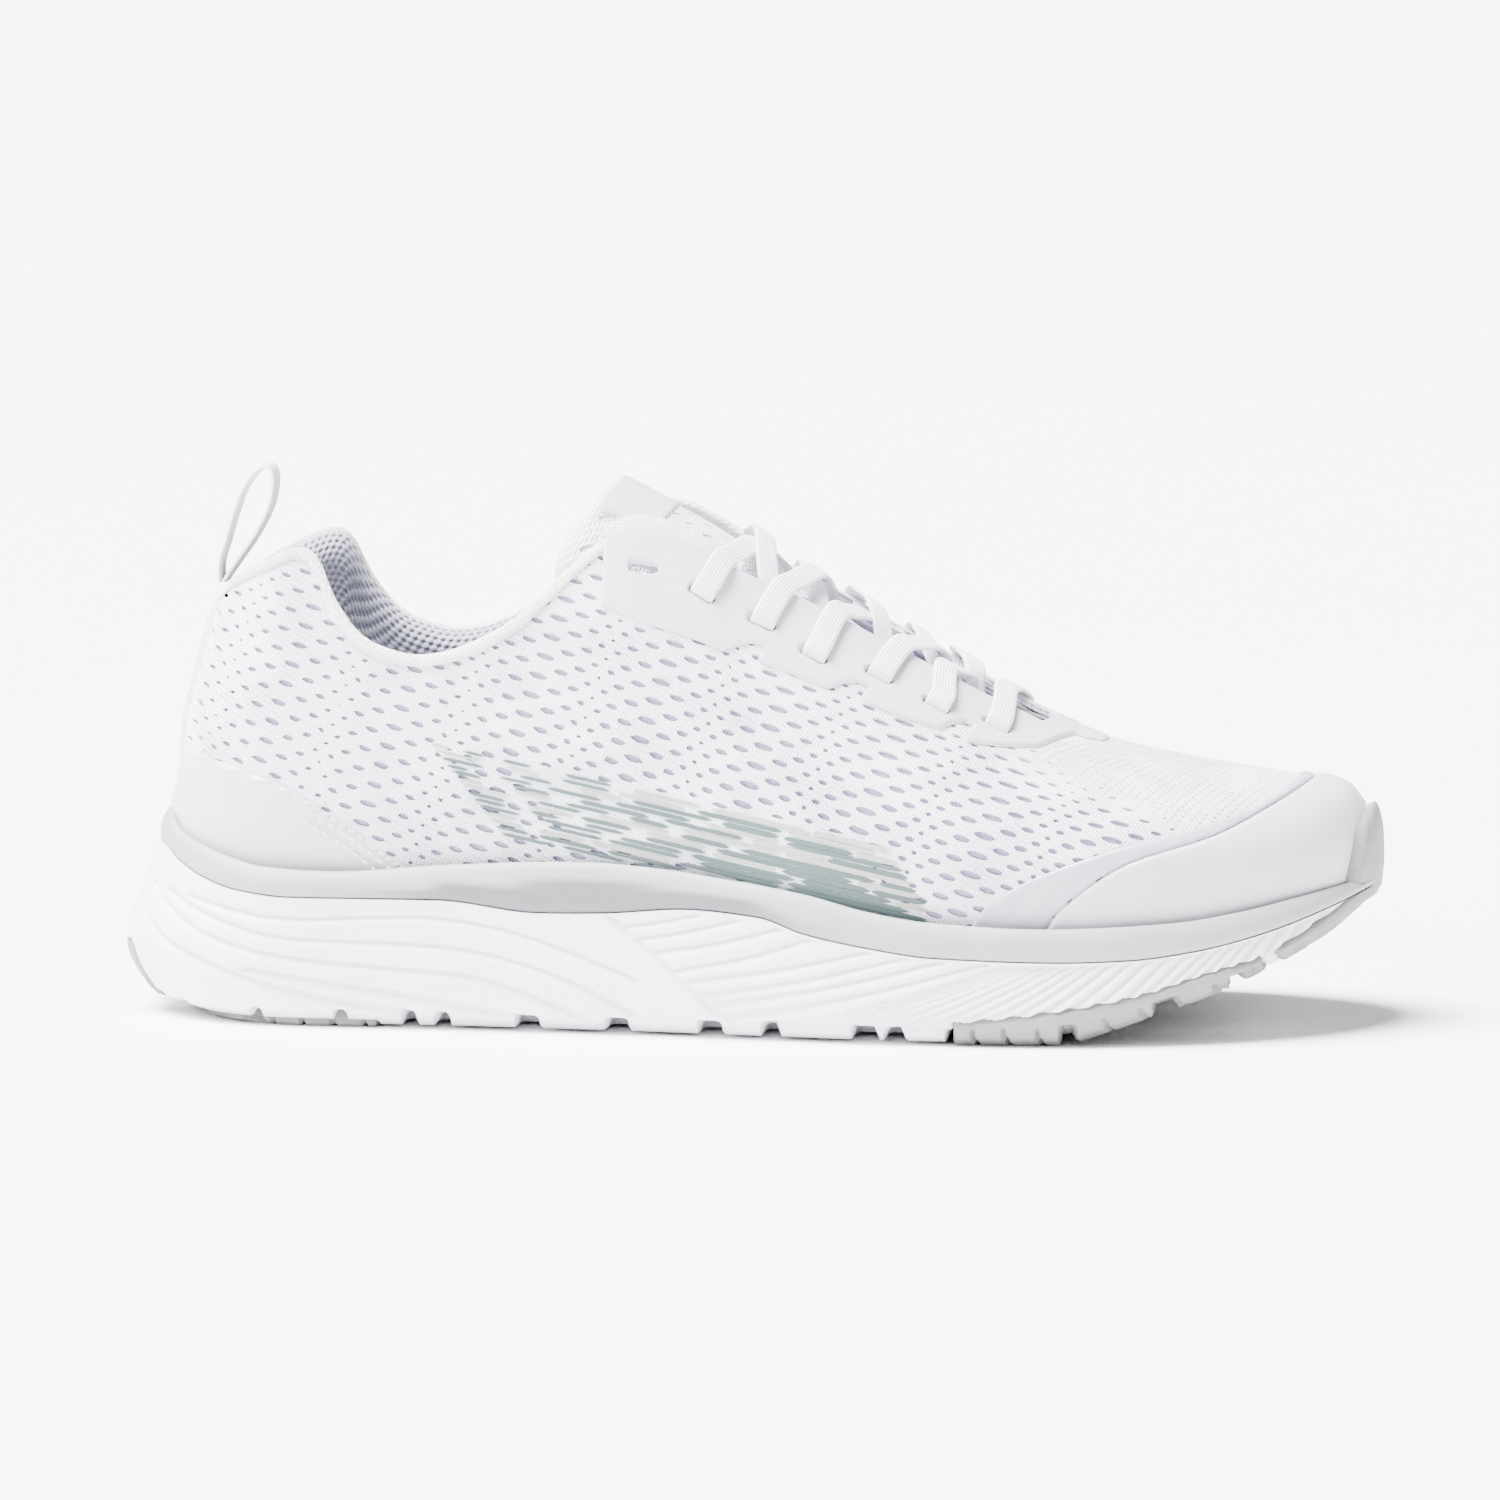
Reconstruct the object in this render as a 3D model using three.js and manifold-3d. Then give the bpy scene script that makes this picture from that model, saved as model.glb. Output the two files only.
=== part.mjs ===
// Running shoe (right foot), built layer by layer as the real one is lasted and glued.
// Units are millimetres. +X points to the toe, +Y to the inner (medial) side, +Z up.
// The group is moved at the end so that its origin is the bottom centre of its box.

import * as THREE from 'three';
import { mergeVertices } from 'three/addons/utils/BufferGeometryUtils.js';
import Module from 'manifold-3d';

const wasm = await Module();
wasm.setup();

// ---------- driving dimensions ----------

const SHOE_LENGTH = 298; // heel of the sole to the front of the toe bumper
const SHOE_WIDTH = 111; // widest place of the sole
const GAP = 0.3; // air left between neighbouring pieces

const MESH_THICKNESS = 1.0; // knitted outer mesh
const STIFFENER_THICKNESS = 0.8; // toe puff and eyestay backing
const COUNTER_THICKNESS = 1.8; // moulded heel counter
const LINING_THICKNESS = 0.8;
const COLLAR_FOAM_THICKNESS = 4.7;
const OVERLAY_THICKNESS = 0.8; // smooth films on the outside of the mesh
const TAPE_THICKNESS = 0.8; // backstay tape
const BINDING_WIDTH = 2.9; // knitted binding along the topline
const RIM_LIP = 1.6; // thickness of the grey rim at its top edge
const RUBBER_THICKNESS = 3.0;
const GLUE_ROOM = 0.8; // space for glue between rubber and foam
const FOAM_LIFT = 0.8; // how far the bare foam stays above the ground
const STROBEL_THICKNESS = 1.5;
const INSOLE_THICKNESS = 4.5;

const TONGUE_SKIN = 0.8; // face and lining cloth of the tongue
const TONGUE_FOAM_BASE = 1.2;
const TONGUE_FOAM_TOP = 5.0;

const LACE_WIDTH = 6.0;
const LACE_THICKNESS = 1.1;
const SLOT_CLEARANCE = 1.4; // slot length beyond the lace's width
const SLOT_HEIGHT = 3.8;
const AGLET_LENGTH = 12;
const LOOP_WIDTH = 9;
const LOOP_THICKNESS = 1.2;

// ---------- grading: the patterns are drawn on the base size ----------

const BASE_LENGTH = 298;
const BASE_WIDTH = 111;
const gradeX = SHOE_LENGTH / BASE_LENGTH;
const gradeY = SHOE_WIDTH / BASE_WIDTH;

/** Monotone cubic curve through [x, value] pairs, held level past both ends. */
function profile(pairs) {
  const xs = pairs.map(([x]) => x * gradeX);
  const ys = pairs.map(([, y]) => y);
  const slope = xs.slice(1).map((x, i) => (ys[i + 1] - ys[i]) / (x - xs[i]));
  const tangent = xs.map((x, i) => {
    const before = slope[Math.max(i - 1, 0)];
    const after = slope[Math.min(i, slope.length - 1)];
    return before * after <= 0 ? 0 : (2 * before * after) / (before + after);
  });
  return (x) => {
    if (x <= xs[0]) return ys[0];
    if (x >= xs[xs.length - 1]) return ys[ys.length - 1];
    const i = xs.findIndex((value) => value > x) - 1;
    const h = xs[i + 1] - xs[i];
    const t = (x - xs[i]) / h;
    const t2 = t * t;
    const t3 = t2 * t;
    return ys[i] * (2 * t3 - 3 * t2 + 1) + tangent[i] * h * (t3 - 2 * t2 + t)
      + ys[i + 1] * (3 * t2 - 2 * t3) + tangent[i + 1] * h * (t3 - t2);
  };
}

// ---------- the last: the surface that the outer mesh is pulled over ----------

const HEEL_JOIN = 50 * gradeX; // the heel's round end reaches from the back to here
const TOE_JOIN = 215 * gradeX; // the toe's round end starts here
const ROUNDNESS = 2.2; // exponent of both round ends, seen from above
const HEEL_END = 12 * gradeX;
const TOE_END = 294.5 * gradeX;
const HEEL_STEPS = 5;
const MIDDLE_STEPS = 8;
const TOE_STEPS = 6;
const SIDE_STEPS = 2; // ring steps below the widest line
const CROWN_STEPS = 6; // ring steps from the widest line to the ridge
const TUCK = 5; // how far the side turns in below the widest line

const footbed = profile([[10, 27], [60, 25.5], [120, 24], [160, 21], [200, 17.8], [230, 17.8],
  [250, 20], [270, 24.5], [285, 29], [294, 32]]);
const widest = profile([[10, 56], [60, 54], [120, 48], [168, 42.5], [216, 40], [260, 40], [294, 41]]);
const ridge = profile([[10, 140], [100, 142], [121, 141], [140, 131], [150, 120.5], [168, 105.5],
  [184, 93.4], [197, 85.3], [216, 73.4], [234, 66.3], [252, 62.3], [271, 59.2], [285, 57],
  [290, 55.2], [294.5, 50]]);
const halfWidth = profile([[45, 35], [80, 35.2], [120, 37], [160, 42], [190, 47], [215, 49]]);
const centreLine = profile([[45, 0], [80, -1.2], [120, -3], [160, -4], [190, -3], [215, -1],
  [240, 0.8], [265, 3], [285, 5], [294.5, 7]]);
const heelLean = profile([[0, 0], [48, 0], [56, 1.9], [68, 2.8], [75, 4.3], [84.5, 6.9],
  [94, 9.7], [99, 11.6], [140, 25]].map(([z, x]) => [z / gradeX, x]));

/** Stations from the heel's end to the toe's end: where each lies and how far it has opened. */
function stations(heelEnd, toeEnd) {
  const list = [];
  const power = 2 / ROUNDNESS;
  for (let i = 0; i <= HEEL_STEPS; i += 1) {
    const angle = (i / HEEL_STEPS) * (Math.PI / 2);
    const reach = i === HEEL_STEPS ? 0 : Math.cos(angle) ** power;
    list.push({ x: HEEL_JOIN - (HEEL_JOIN - heelEnd) * reach, open: Math.sin(angle) ** power });
  }
  for (let i = 1; i < MIDDLE_STEPS; i += 1) {
    list.push({ x: HEEL_JOIN + ((TOE_JOIN - HEEL_JOIN) * i) / MIDDLE_STEPS, open: 1 });
  }
  for (let i = 0; i <= TOE_STEPS; i += 1) {
    const angle = (i / TOE_STEPS) * (Math.PI / 2);
    const open = i === TOE_STEPS ? 0 : Math.cos(angle) ** power;
    list.push({ x: TOE_JOIN + (toeEnd - TOE_JOIN) * Math.sin(angle) ** power, open });
  }
  return list;
}

/** Share of the heel's lean that a station takes. */
function leanShare(x) {
  const t = THREE.MathUtils.clamp((x - HEEL_END) / (70 * gradeX - HEEL_END), 0, 1);
  return (1 - t) ** 2;
}

/** One side of a section: [half width, height] from the footbed up to the ridge. */
function sectionSide(x, offset, sink) {
  const width = halfWidth(x) * gradeY + offset;
  const low = footbed(x) - sink;
  const mid = widest(x);
  const top = ridge(x) + offset;
  const side = [];
  for (let k = 0; k < SIDE_STEPS; k += 1) {
    const t = k / SIDE_STEPS;
    side.push([width - TUCK * (1 - t) ** 2, low + (mid - low) * t]);
  }
  for (let k = 0; k <= CROWN_STEPS; k += 1) {
    const angle = (k / CROWN_STEPS) * (Math.PI / 2);
    const across = k === CROWN_STEPS ? 0 : Math.cos(angle);
    side.push([width * across, mid + (top - mid) * Math.sin(angle)]);
  }
  return side;
}

/** A closed body from rings of points, one ring for each station; end rings may be flat. */
function loft(rings) {
  const count = rings[0].length;
  const position = [];
  const index = [];
  rings.forEach((ring) => ring.forEach((point) => position.push(...point)));
  for (let i = 0; i + 1 < rings.length; i += 1) {
    for (let j = 0; j < count; j += 1) {
      const a = i * count + j;
      const b = i * count + ((j + 1) % count);
      // The diagonals mirror each other, so that sheets one over the other stay parallel.
      if (j < (count - 1) / 2) index.push(a, b, a + count, b, b + count, a + count);
      else index.push(a, b, b + count, a, b + count, a + count);
    }
  }
  const geometry = new THREE.BufferGeometry();
  geometry.setAttribute('position', new THREE.Float32BufferAttribute(position, 3));
  geometry.setIndex(index);
  return solid(geometry);
}

/** A three.js geometry as a manifold solid, its shared vertices merged and faces turned out. */
function solid(geometry) {
  const bare = geometry.clone();
  bare.deleteAttribute('normal');
  bare.deleteAttribute('uv');
  const merged = mergeVertices(bare, 1e-4);
  const triangles = [];
  const source = merged.index.array;
  for (let i = 0; i < source.length; i += 3) {
    const [a, b, c] = [source[i], source[i + 1], source[i + 2]];
    if (a !== b && b !== c && c !== a) triangles.push(a, b, c);
  }
  const vertProperties = new Float32Array(merged.attributes.position.array);
  const volume = signedVolume(vertProperties, triangles);
  if (volume < 0) triangles.reverse();
  const mesh = new wasm.Mesh({ numProp: 3, vertProperties, triVerts: new Uint32Array(triangles) });
  return new wasm.Manifold(mesh);
}

const FLAKE = 8; // cubic millimetres; cuts along shared faces leave flakes smaller than this
const SLIVER = 0.03; // a cut also leaves needle faces; they are joined within this distance

/** The piece without the flakes and needle faces that its cuts left. */
function cleaned(body) {
  const kept = body.decompose().filter((part) => part.volume() > FLAKE);
  return kept.reduce((all, part) => all.add(part)).asOriginal().simplify(SLIVER);
}

function signedVolume(vertices, triangles) {
  const corner = (i) => new THREE.Vector3().fromArray(vertices, triangles[i] * 3);
  let sum = 0;
  for (let i = 0; i < triangles.length; i += 3) {
    sum += corner(i).dot(corner(i + 1).cross(corner(i + 2)));
  }
  return sum;
}

/** The volume inside the last's surface moved out by an offset, its bottom lowered by a sink. */
function lastBody(offset, sink = 0) {
  const rings = stations(HEEL_END - offset, TOE_END + offset).map(({ x, open }) => {
    const side = sectionSide(x, offset, sink);
    const centre = centreLine(x) * gradeY;
    const place = (direction) => ([across, z]) => [
      x + heelLean(z) * leanShare(x), centre + direction * across * open, z];
    return [...side.map(place(-1)), ...side.slice(0, -1).reverse().map(place(1))];
  });
  return loft(rings);
}

/** A shell between two offsets of the last, open at the bottom. */
const shell = (inner, outer) => lastBody(outer).subtract(lastBody(inner, 3));

// ---------- cutting tools ----------

/** Pattern outline [x, z] at the graded length. */
const graded = (points) => points.map(([x, z]) => new THREE.Vector2(x * gradeX, z));

/** A smooth run of points through a few pattern points. */
const smooth = (points, divisions) => new THREE.SplineCurve(points).getPoints(divisions);

/** The same run moved sideways; a positive distance moves it to the right of its direction. */
function shifted(points, distance) {
  return points.map((point, i) => {
    const before = points[Math.max(i - 1, 0)];
    const after = points[Math.min(i + 1, points.length - 1)];
    const along = after.clone().sub(before).normalize();
    return new THREE.Vector2(point.x + along.y * distance, point.y - along.x * distance);
  });
}

/** Prism with a side-view outline (x, z), from y = low to y = high. */
function sidePrism(points, low = -90, high = 90) {
  const geometry = new THREE.ExtrudeGeometry(new THREE.Shape(points), {
    depth: high - low, bevelEnabled: false, steps: 1 });
  geometry.rotateX(Math.PI / 2);
  geometry.translate(0, high, 0);
  return solid(geometry);
}

/** Prism with a plan outline (x, y), from z = low to z = high. */
function planPrism(points, low, high) {
  const geometry = new THREE.ExtrudeGeometry(new THREE.Shape(points), {
    depth: high - low, bevelEnabled: false, steps: 1 });
  geometry.translate(0, 0, low);
  return solid(geometry);
}

/** Prism with a front-view outline (y, z), from x = low to x = high. */
function frontPrism(points, low, high) {
  const geometry = new THREE.ExtrudeGeometry(new THREE.Shape(points), {
    depth: high - low, bevelEnabled: false, steps: 1 });
  geometry.rotateX(Math.PI / 2);
  geometry.rotateZ(Math.PI / 2);
  geometry.translate(low, 0, 0);
  return solid(geometry);
}

const SKY = 180; // above everything
const corners = (...points) => points.map(([x, z]) => new THREE.Vector2(x, z));

// The topline rises from the back of the heel to the heel wings, dips below the ankle and
// climbs to the top of the eyestay.
const topline = smooth(graded([[18, 98.2], [24, 99.9], [29, 104.4], [37, 108.8], [45, 112],
  [50, 109.8], [54.5, 100.4], [61, 92.2], [69, 88.7], [76, 87.9], [85, 90], [96.5, 96],
  [105, 103.8], [113, 111.4], [119, 115.8]]), 40);
const eyestayTop = smooth(graded([[119, 115.8], [124.6, 118.1], [131.6, 117.4], [139.5, 113.6],
  [147, 109], [154, 105.6], [168, 99], [184, 90.3], [197, 83.2], [208, 77], [216, 72.9],
  [219.5, 71.2]]), 26);
const throatEnd = eyestayTop[eyestayTop.length - 1];

/** Everything above the topline and the throat, a given distance below their edge. */
function openingCut(drop) {
  const collar = shifted(topline, drop);
  return sidePrism([new THREE.Vector2(-20, collar[0].y), ...collar, ...eyestayTop.slice(1),
    new THREE.Vector2(throatEnd.x + 1, SKY), new THREE.Vector2(-20, SKY)]);
}

/** Everything below the footbed, plus a height. */
function belowFootbed(height) {
  const line = [];
  for (let x = 0; x <= BASE_LENGTH; x += 12) {
    line.push(new THREE.Vector2(x * gradeX, footbed(x * gradeX) + height));
  }
  return sidePrism([new THREE.Vector2(-20, line[0].y), ...line,
    new THREE.Vector2(340 * gradeX, line[line.length - 1].y + 4),
    new THREE.Vector2(340 * gradeX, -20), new THREE.Vector2(-20, -20)]);
}

// ---------- a point on the last, for slots and laces ----------

/** Distance of the surface from the centre line, at a place seen from the side. */
function acrossAt(x, z) {
  const rise = (z - widest(x)) / (ridge(x) - widest(x));
  return halfWidth(x) * gradeY * Math.sqrt(Math.max(1 - rise * rise, 0));
}

/** Point and outward normal on the last at (x, z) on a side, lifted by a distance. */
function onLast(x, z, side, lift) {
  const centre = centreLine(x) * gradeY;
  const at = (px, pz) => new THREE.Vector3(px, centre + side * acrossAt(px, pz), pz);
  const point = at(x, z);
  const alongX = at(x + 0.5, z).sub(point);
  const alongZ = at(x, z + 0.5).sub(point);
  const normal = alongX.cross(alongZ).normalize();
  if (normal.y * side < 0) normal.negate();
  return { point: point.addScaledVector(normal, lift), normal };
}

const edgeHeight = profile(eyestayTop.map(({ x, y }) => [x / gradeX, y]));

/** Distance of the throat's edge from the centre line. */
const edgeAcross = (x) => acrossAt(x, edgeHeight(x));

/** The throat seen from above, cut straight down through every layer. */
function throatPrism() {
  const runs = eyestayTop.filter(({ x }) => x > 126 * gradeX);
  const side = (direction) => runs.map(({ x }) => new THREE.Vector2(
    x, centreLine(x) * gradeY + direction * edgeAcross(x)));
  const tip = new THREE.Vector2(throatEnd.x + 2.5, centreLine(throatEnd.x) * gradeY);
  return planPrism([...side(-1), tip, ...side(1).reverse()], 50, SKY);
}

// Slot centres seen from the side, from the top row down to the toe-side row.
const slots = [[127.7, 108.6], [141.6, 102.7], [155.7, 96], [168, 88.6], [183, 83.6], [196.5, 76.8],
  [210, 71.6]].map(([x, z]) => ({ x: x * gradeX, z }));
const LAST_ROW = slots.length - 1;

/** Frame of a slot: its middle, normal, long direction and the direction away from the throat. */
function slotFrame(row, side) {
  const { x, z } = slots[row];
  const here = onLast(x, z, side, 0);
  const ahead = onLast(x + 1, z + edgeHeight(x + 1) - edgeHeight(x), side, 0).point;
  const along = ahead.sub(here.point).normalize();
  const away = new THREE.Vector3().crossVectors(along, here.normal).normalize();
  if (away.z > 0) away.negate();
  along.crossVectors(here.normal, away).normalize();
  return { middle: here.point, normal: here.normal, along, away };
}

function slotCutter(row, side) {
  const { middle, normal, along, away } = slotFrame(row, side);
  const geometry = new THREE.BoxGeometry(LACE_WIDTH + SLOT_CLEARANCE, SLOT_HEIGHT, 16);
  const basis = new THREE.Matrix4().makeBasis(along, away, normal).setPosition(middle);
  if (basis.determinant() < 0) basis.makeBasis(along.clone().negate(), away, normal).setPosition(middle);
  return solid(geometry.applyMatrix4(basis));
}

const allSlots = [];
for (let row = 0; row <= LAST_ROW; row += 1) {
  allSlots.push(slotCutter(row, -1), slotCutter(row, 1));
}
const cutSlots = (body) => allSlots.reduce((rest, cutter) => rest.subtract(cutter), body);

// ---------- layers of the upper ----------

const meshIn = -MESH_THICKNESS;
const stiffenerOut = meshIn - GAP;
const stiffenerIn = stiffenerOut - STIFFENER_THICKNESS;
const vampLiningOut = stiffenerIn - GAP;
const vampLiningIn = vampLiningOut - LINING_THICKNESS;
const foamIn = stiffenerOut - COLLAR_FOAM_THICKNESS;
const collarLiningOut = foamIn - GAP;
const collarLiningIn = collarLiningOut - LINING_THICKNESS;
const overlayOut = GAP + OVERLAY_THICKNESS;
const cupClearance = overlayOut + GAP; // the sole's cup stays this far outside the mesh
const tapeOut = overlayOut + GAP + TAPE_THICKNESS;

const COLLAR_FRONT = 108; // base-size place where the padded collar ends
const SEAM_HEIGHT = 66; // top of the heel counter, bottom of the collar foam
const aboveFootbed = belowFootbed(0.5);
const throat = throatPrism();
const mouth = openingCut(0).add(throat);
const mouthUnderBinding = openingCut(BINDING_WIDTH + GAP).add(throat);

function makeUpperMesh() {
  return cutSlots(shell(meshIn, 0).subtract(mouthUnderBinding).subtract(aboveFootbed));
}

function makeVampLining() {
  const behind = sidePrism(corners([-20, -20], [(COLLAR_FRONT + 2) * gradeX, -20],
    [(COLLAR_FRONT + 2) * gradeX, SKY], [-20, SKY]));
  const body = shell(vampLiningIn, vampLiningOut).subtract(mouthUnderBinding)
    .subtract(aboveFootbed);
  return cutSlots(body.subtract(behind));
}

function makeCollarLining() {
  const ahead = sidePrism(corners([COLLAR_FRONT * gradeX, -20], [400, -20], [400, SKY],
    [COLLAR_FRONT * gradeX, SKY]));
  const body = shell(collarLiningIn, collarLiningOut);
  return body.subtract(mouthUnderBinding).subtract(aboveFootbed).subtract(ahead);
}

function makeCollarFoam() {
  const region = sidePrism(graded([[-10, SEAM_HEIGHT], [60, SEAM_HEIGHT], [85, 70],
    [COLLAR_FRONT - 6, 80], [COLLAR_FRONT, 90], [COLLAR_FRONT, SKY], [-10, SKY]]));
  return shell(foamIn, stiffenerOut).subtract(mouthUnderBinding).intersect(region);
}

function makeHeelCounter() {
  const top = SEAM_HEIGHT - GAP;
  const region = sidePrism(graded([[-10, 0], [88, 0], [80, 40], [66, 54], [52, top - 3], [36, top],
    [-10, top]]));
  const body = shell(stiffenerOut - COUNTER_THICKNESS, stiffenerOut);
  return body.subtract(aboveFootbed).intersect(region);
}

function makeToePuff() {
  const region = sidePrism(graded([[262, 0], [258, 44], [268, 54], [278, 70], [320, 70], [320, 0]]));
  return shell(stiffenerIn, stiffenerOut).subtract(aboveFootbed).intersect(region);
}

// The toe cap's edge and the clear film's margin behind it run up over the toe as arcs.
const capEdge = smooth(graded([[222, 18], [224.4, 27.5], [230, 34], [242.6, 42.3], [261.9, 47.9],
  [276.5, 54.6], [287, 60]]), 16);
const filmEdge = smooth(graded([[204, 18], [207.7, 29.4], [218.5, 37.8], [238.3, 45.2],
  [257.6, 49.7], [272.3, 54.4], [284, 61]]), 16);

function makeToeCap() {
  const region = sidePrism([...capEdge, ...graded([[300, 75], [330, 75], [330, 10]])]);
  return shell(GAP, overlayOut).intersect(region).subtract(aboveFootbed);
}

function makeToeFilm() {
  const region = sidePrism([...filmEdge, ...shifted(capEdge, -GAP).reverse()]);
  return shell(GAP, overlayOut - 0.2).intersect(region).subtract(aboveFootbed);
}

// Lower edge of the eyestay with its three small notches.
const eyestayLow = graded([[118, 99.9], [129.6, 95.6], [139.9, 92.6], [147, 90], [152.5, 91.6],
  [157, 89.9], [154.7, 87.6], [163.1, 84.7], [172.1, 81.3], [177.5, 82.7], [181.2, 81.2],
  [179.1, 78.6], [188.8, 75], [198, 72], [201.8, 73.2], [205.2, 72.2], [203.5, 69.4],
  [211.4, 67.4], [219.9, 66], [229, 65.6], [235, 64.6], [238, 72]]);

function eyestayRegion() {
  return sidePrism([...eyestayLow, new THREE.Vector2(238 * gradeX, SKY),
    new THREE.Vector2(118 * gradeX, SKY)]);
}

function makeEyestay() {
  return cutSlots(shell(GAP, overlayOut).subtract(mouth).intersect(eyestayRegion()));
}

function makeEyestayBacking() {
  const region = sidePrism([...graded([[124, 99], [147, 91.5], [172, 82.5], [198, 73.5],
    [212, 69.5], [226, 67.5], [230, 76]]), new THREE.Vector2(230 * gradeX, SKY),
  new THREE.Vector2(124 * gradeX, SKY)]);
  return cutSlots(shell(stiffenerIn, stiffenerOut).subtract(mouth).intersect(region));
}

function makeHeelOverlay() {
  const region = sidePrism(graded([[-10, 63], [14, 62.8], [21, 62.6], [30.5, 60.6], [42.4, 56.8],
    [52.4, 51], [60, 46.3], [71, 38], [78, 28], [78, 0], [-10, 0]]));
  return shell(GAP, overlayOut).intersect(region).subtract(aboveFootbed);
}

function makeBackstay() {
  const region = frontPrism(corners([-4.5, 48.6], [4.5, 48.6], [4.5, 98.6], [-4.5, 98.6]), -20, 40);
  return shell(overlayOut + GAP, tapeOut).intersect(region);
}

function makeCollarBinding() {
  const inside = shifted(topline, BINDING_WIDTH);
  const first = topline[0];
  const region = sidePrism([new THREE.Vector2(-20, first.y - BINDING_WIDTH),
    ...inside.slice(0, -3), ...topline.slice(0, -2).reverse(), new THREE.Vector2(-20, first.y)]);
  return shell(collarLiningIn - GAP, GAP * 2).intersect(region);
}

// ---------- tongue ----------

// Outer face of the tongue along its middle, from the seam under the vamp to the top.
const tonguePath = new THREE.CatmullRomCurve3([[222, 65.4], [214, 68.2], [205, 72.6], [197, 77.2],
  [184, 86], [168, 97.6], [150, 110.4], [138, 117.8], [128, 123], [117.5, 128.2]].map(
  ([x, z]) => new THREE.Vector3(x * gradeX, 0, z)));
const TONGUE_STEPS = 9;
const TONGUE_ACROSS = 6;
// Along the path from 0 to 1: half width, and the size of the ellipse the section follows.
const tongueHalf = profile([[0, 19], [0.2, 22], [0.5, 24.5], [0.75, 23], [0.92, 21.3], [1, 19.6]]
  .map(([t, value]) => [t / gradeX, value]));
const tongueRound = profile([[0, 46], [0.35, 42], [0.7, 31], [1, 24.5]]
  .map(([t, value]) => [t / gradeX, value]));
const tongueArch = profile([[0, 26], [0.35, 40], [0.7, 55], [1, 52]]
  .map(([t, value]) => [t / gradeX, value]));

const WING_SWEEP = 8; // how far the top corners lie back towards the heel

/** Point on the tongue: t along it, s from -1 to 1 across, and depth below the outer face. */
function tonguePoint(t, s, depth, trim = 0) {
  const middle = tonguePath.getPointAt(t);
  const tangent = tonguePath.getTangentAt(t);
  const normal = new THREE.Vector3(-tangent.z, 0, tangent.x);
  if (normal.z < 0) normal.negate();
  const shrink = 1 - depth / tongueRound(t);
  const across = s * (tongueHalf(t) - trim) * shrink * gradeY;
  const round = tongueRound(t) * shrink * gradeY;
  const arch = tongueArch(t) - depth;
  const drop = arch * (1 - Math.sqrt(1 - (across / round) ** 2));
  const point = middle.clone().addScaledVector(normal, -depth - drop);
  point.y = centreLine(middle.x) * gradeY + across;
  point.x -= WING_SWEEP * gradeX * s * s * THREE.MathUtils.smoothstep(t, 0.6, 1);
  return point.toArray();
}

const tongueFoam = (t) => TONGUE_FOAM_BASE + (TONGUE_FOAM_TOP - TONGUE_FOAM_BASE) * t;

/** A sheet of the tongue between two depths, each given as a function of t. */
function tongueSheet(outer, inner, from, to, trim) {
  const rings = [];
  for (let i = 0; i <= TONGUE_STEPS; i += 1) {
    const t = from + ((to - from) * i) / TONGUE_STEPS;
    const ring = [];
    for (let j = 0; j <= TONGUE_ACROSS; j += 1) {
      ring.push(tonguePoint(t, (2 * j) / TONGUE_ACROSS - 1, outer(t), trim));
    }
    for (let j = TONGUE_ACROSS; j >= 0; j -= 1) {
      ring.push(tonguePoint(t, (2 * j) / TONGUE_ACROSS - 1, inner(t), trim));
    }
    rings.push(ring);
  }
  return cappedLoft(rings);
}

/** A loft whose first and last rings are closed by strips across them. */
function cappedLoft(rings) {
  const flat = (ring) => {
    const half = ring.length / 2;
    return ring.map((point, j) => {
      const twin = ring[ring.length - 1 - j];
      return j < half ? middleOf(point, twin) : middleOf(twin, point);
    });
  };
  return loft([flat(rings[0]), ...rings, flat(rings[rings.length - 1])]);
}

const middleOf = (a, b) => a.map((value, i) => (value + b[i]) / 2);

const faceIn = () => TONGUE_SKIN;
const foamOut = () => TONGUE_SKIN + GAP;
const foamBack = (t) => foamOut() + tongueFoam(t);
const backOut = (t) => foamBack(t) + GAP;
const backIn = (t) => backOut(t) + TONGUE_SKIN;
const TONGUE_TAB_START = 0.87;

function makeTongueTab() {
  return tongueSheet(() => -GAP - 1.4, () => -GAP - 0.6, TONGUE_TAB_START, 0.995, 4);
}

// ---------- sole ----------

const ground = profile([[0, 0], [228, 0], [237, 2.6], [246, 5.6], [264, 11.8], [275, 16.6],
  [288, 23.4], [295, 28.6]]);
const parting = profile([[0, 40.4], [11, 40.4], [16.5, 37.3], [22.7, 34.4], [31.8, 31.9],
  [45, 30.7], [80, 30.8], [104, 28.4], [120, 28.8], [140, 30.3], [157, 29], [168, 25.4],
  [183, 22.6], [199, 20.6], [229, 19.8], [244, 20.2], [258, 21.8], [272, 24.8], [290, 30.6],
  [298, 33.6]]);
const rimTop = profile([[0, 47.8], [12, 47.8], [16.5, 44.2], [28, 40], [38.7, 37.6], [54, 37],
  [84, 39.2], [115, 40.5], [130, 39.8], [152, 37.2], [168, 34.6], [183, 31], [198, 28.8],
  [224, 27.6], [253, 28.6], [268, 30.5], [281, 33], [298, 35.9]]);

/** Levels of the sidewall: share of the height to the parting line, spread and end places. */
const sideLevels = [
  { share: 0, spread: 0.5, heel: 20, toe: 292 },
  { share: 0.12, spread: 4.2, heel: 6, toe: 295.5 },
  { share: 0.42, spread: 6.6, heel: 0, toe: 297.4 },
  { share: 0.74, spread: 6.0, heel: 4.5, toe: 297.8 },
  { share: 1, spread: 5.2, heel: 8.2, toe: 298 },
];

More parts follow.
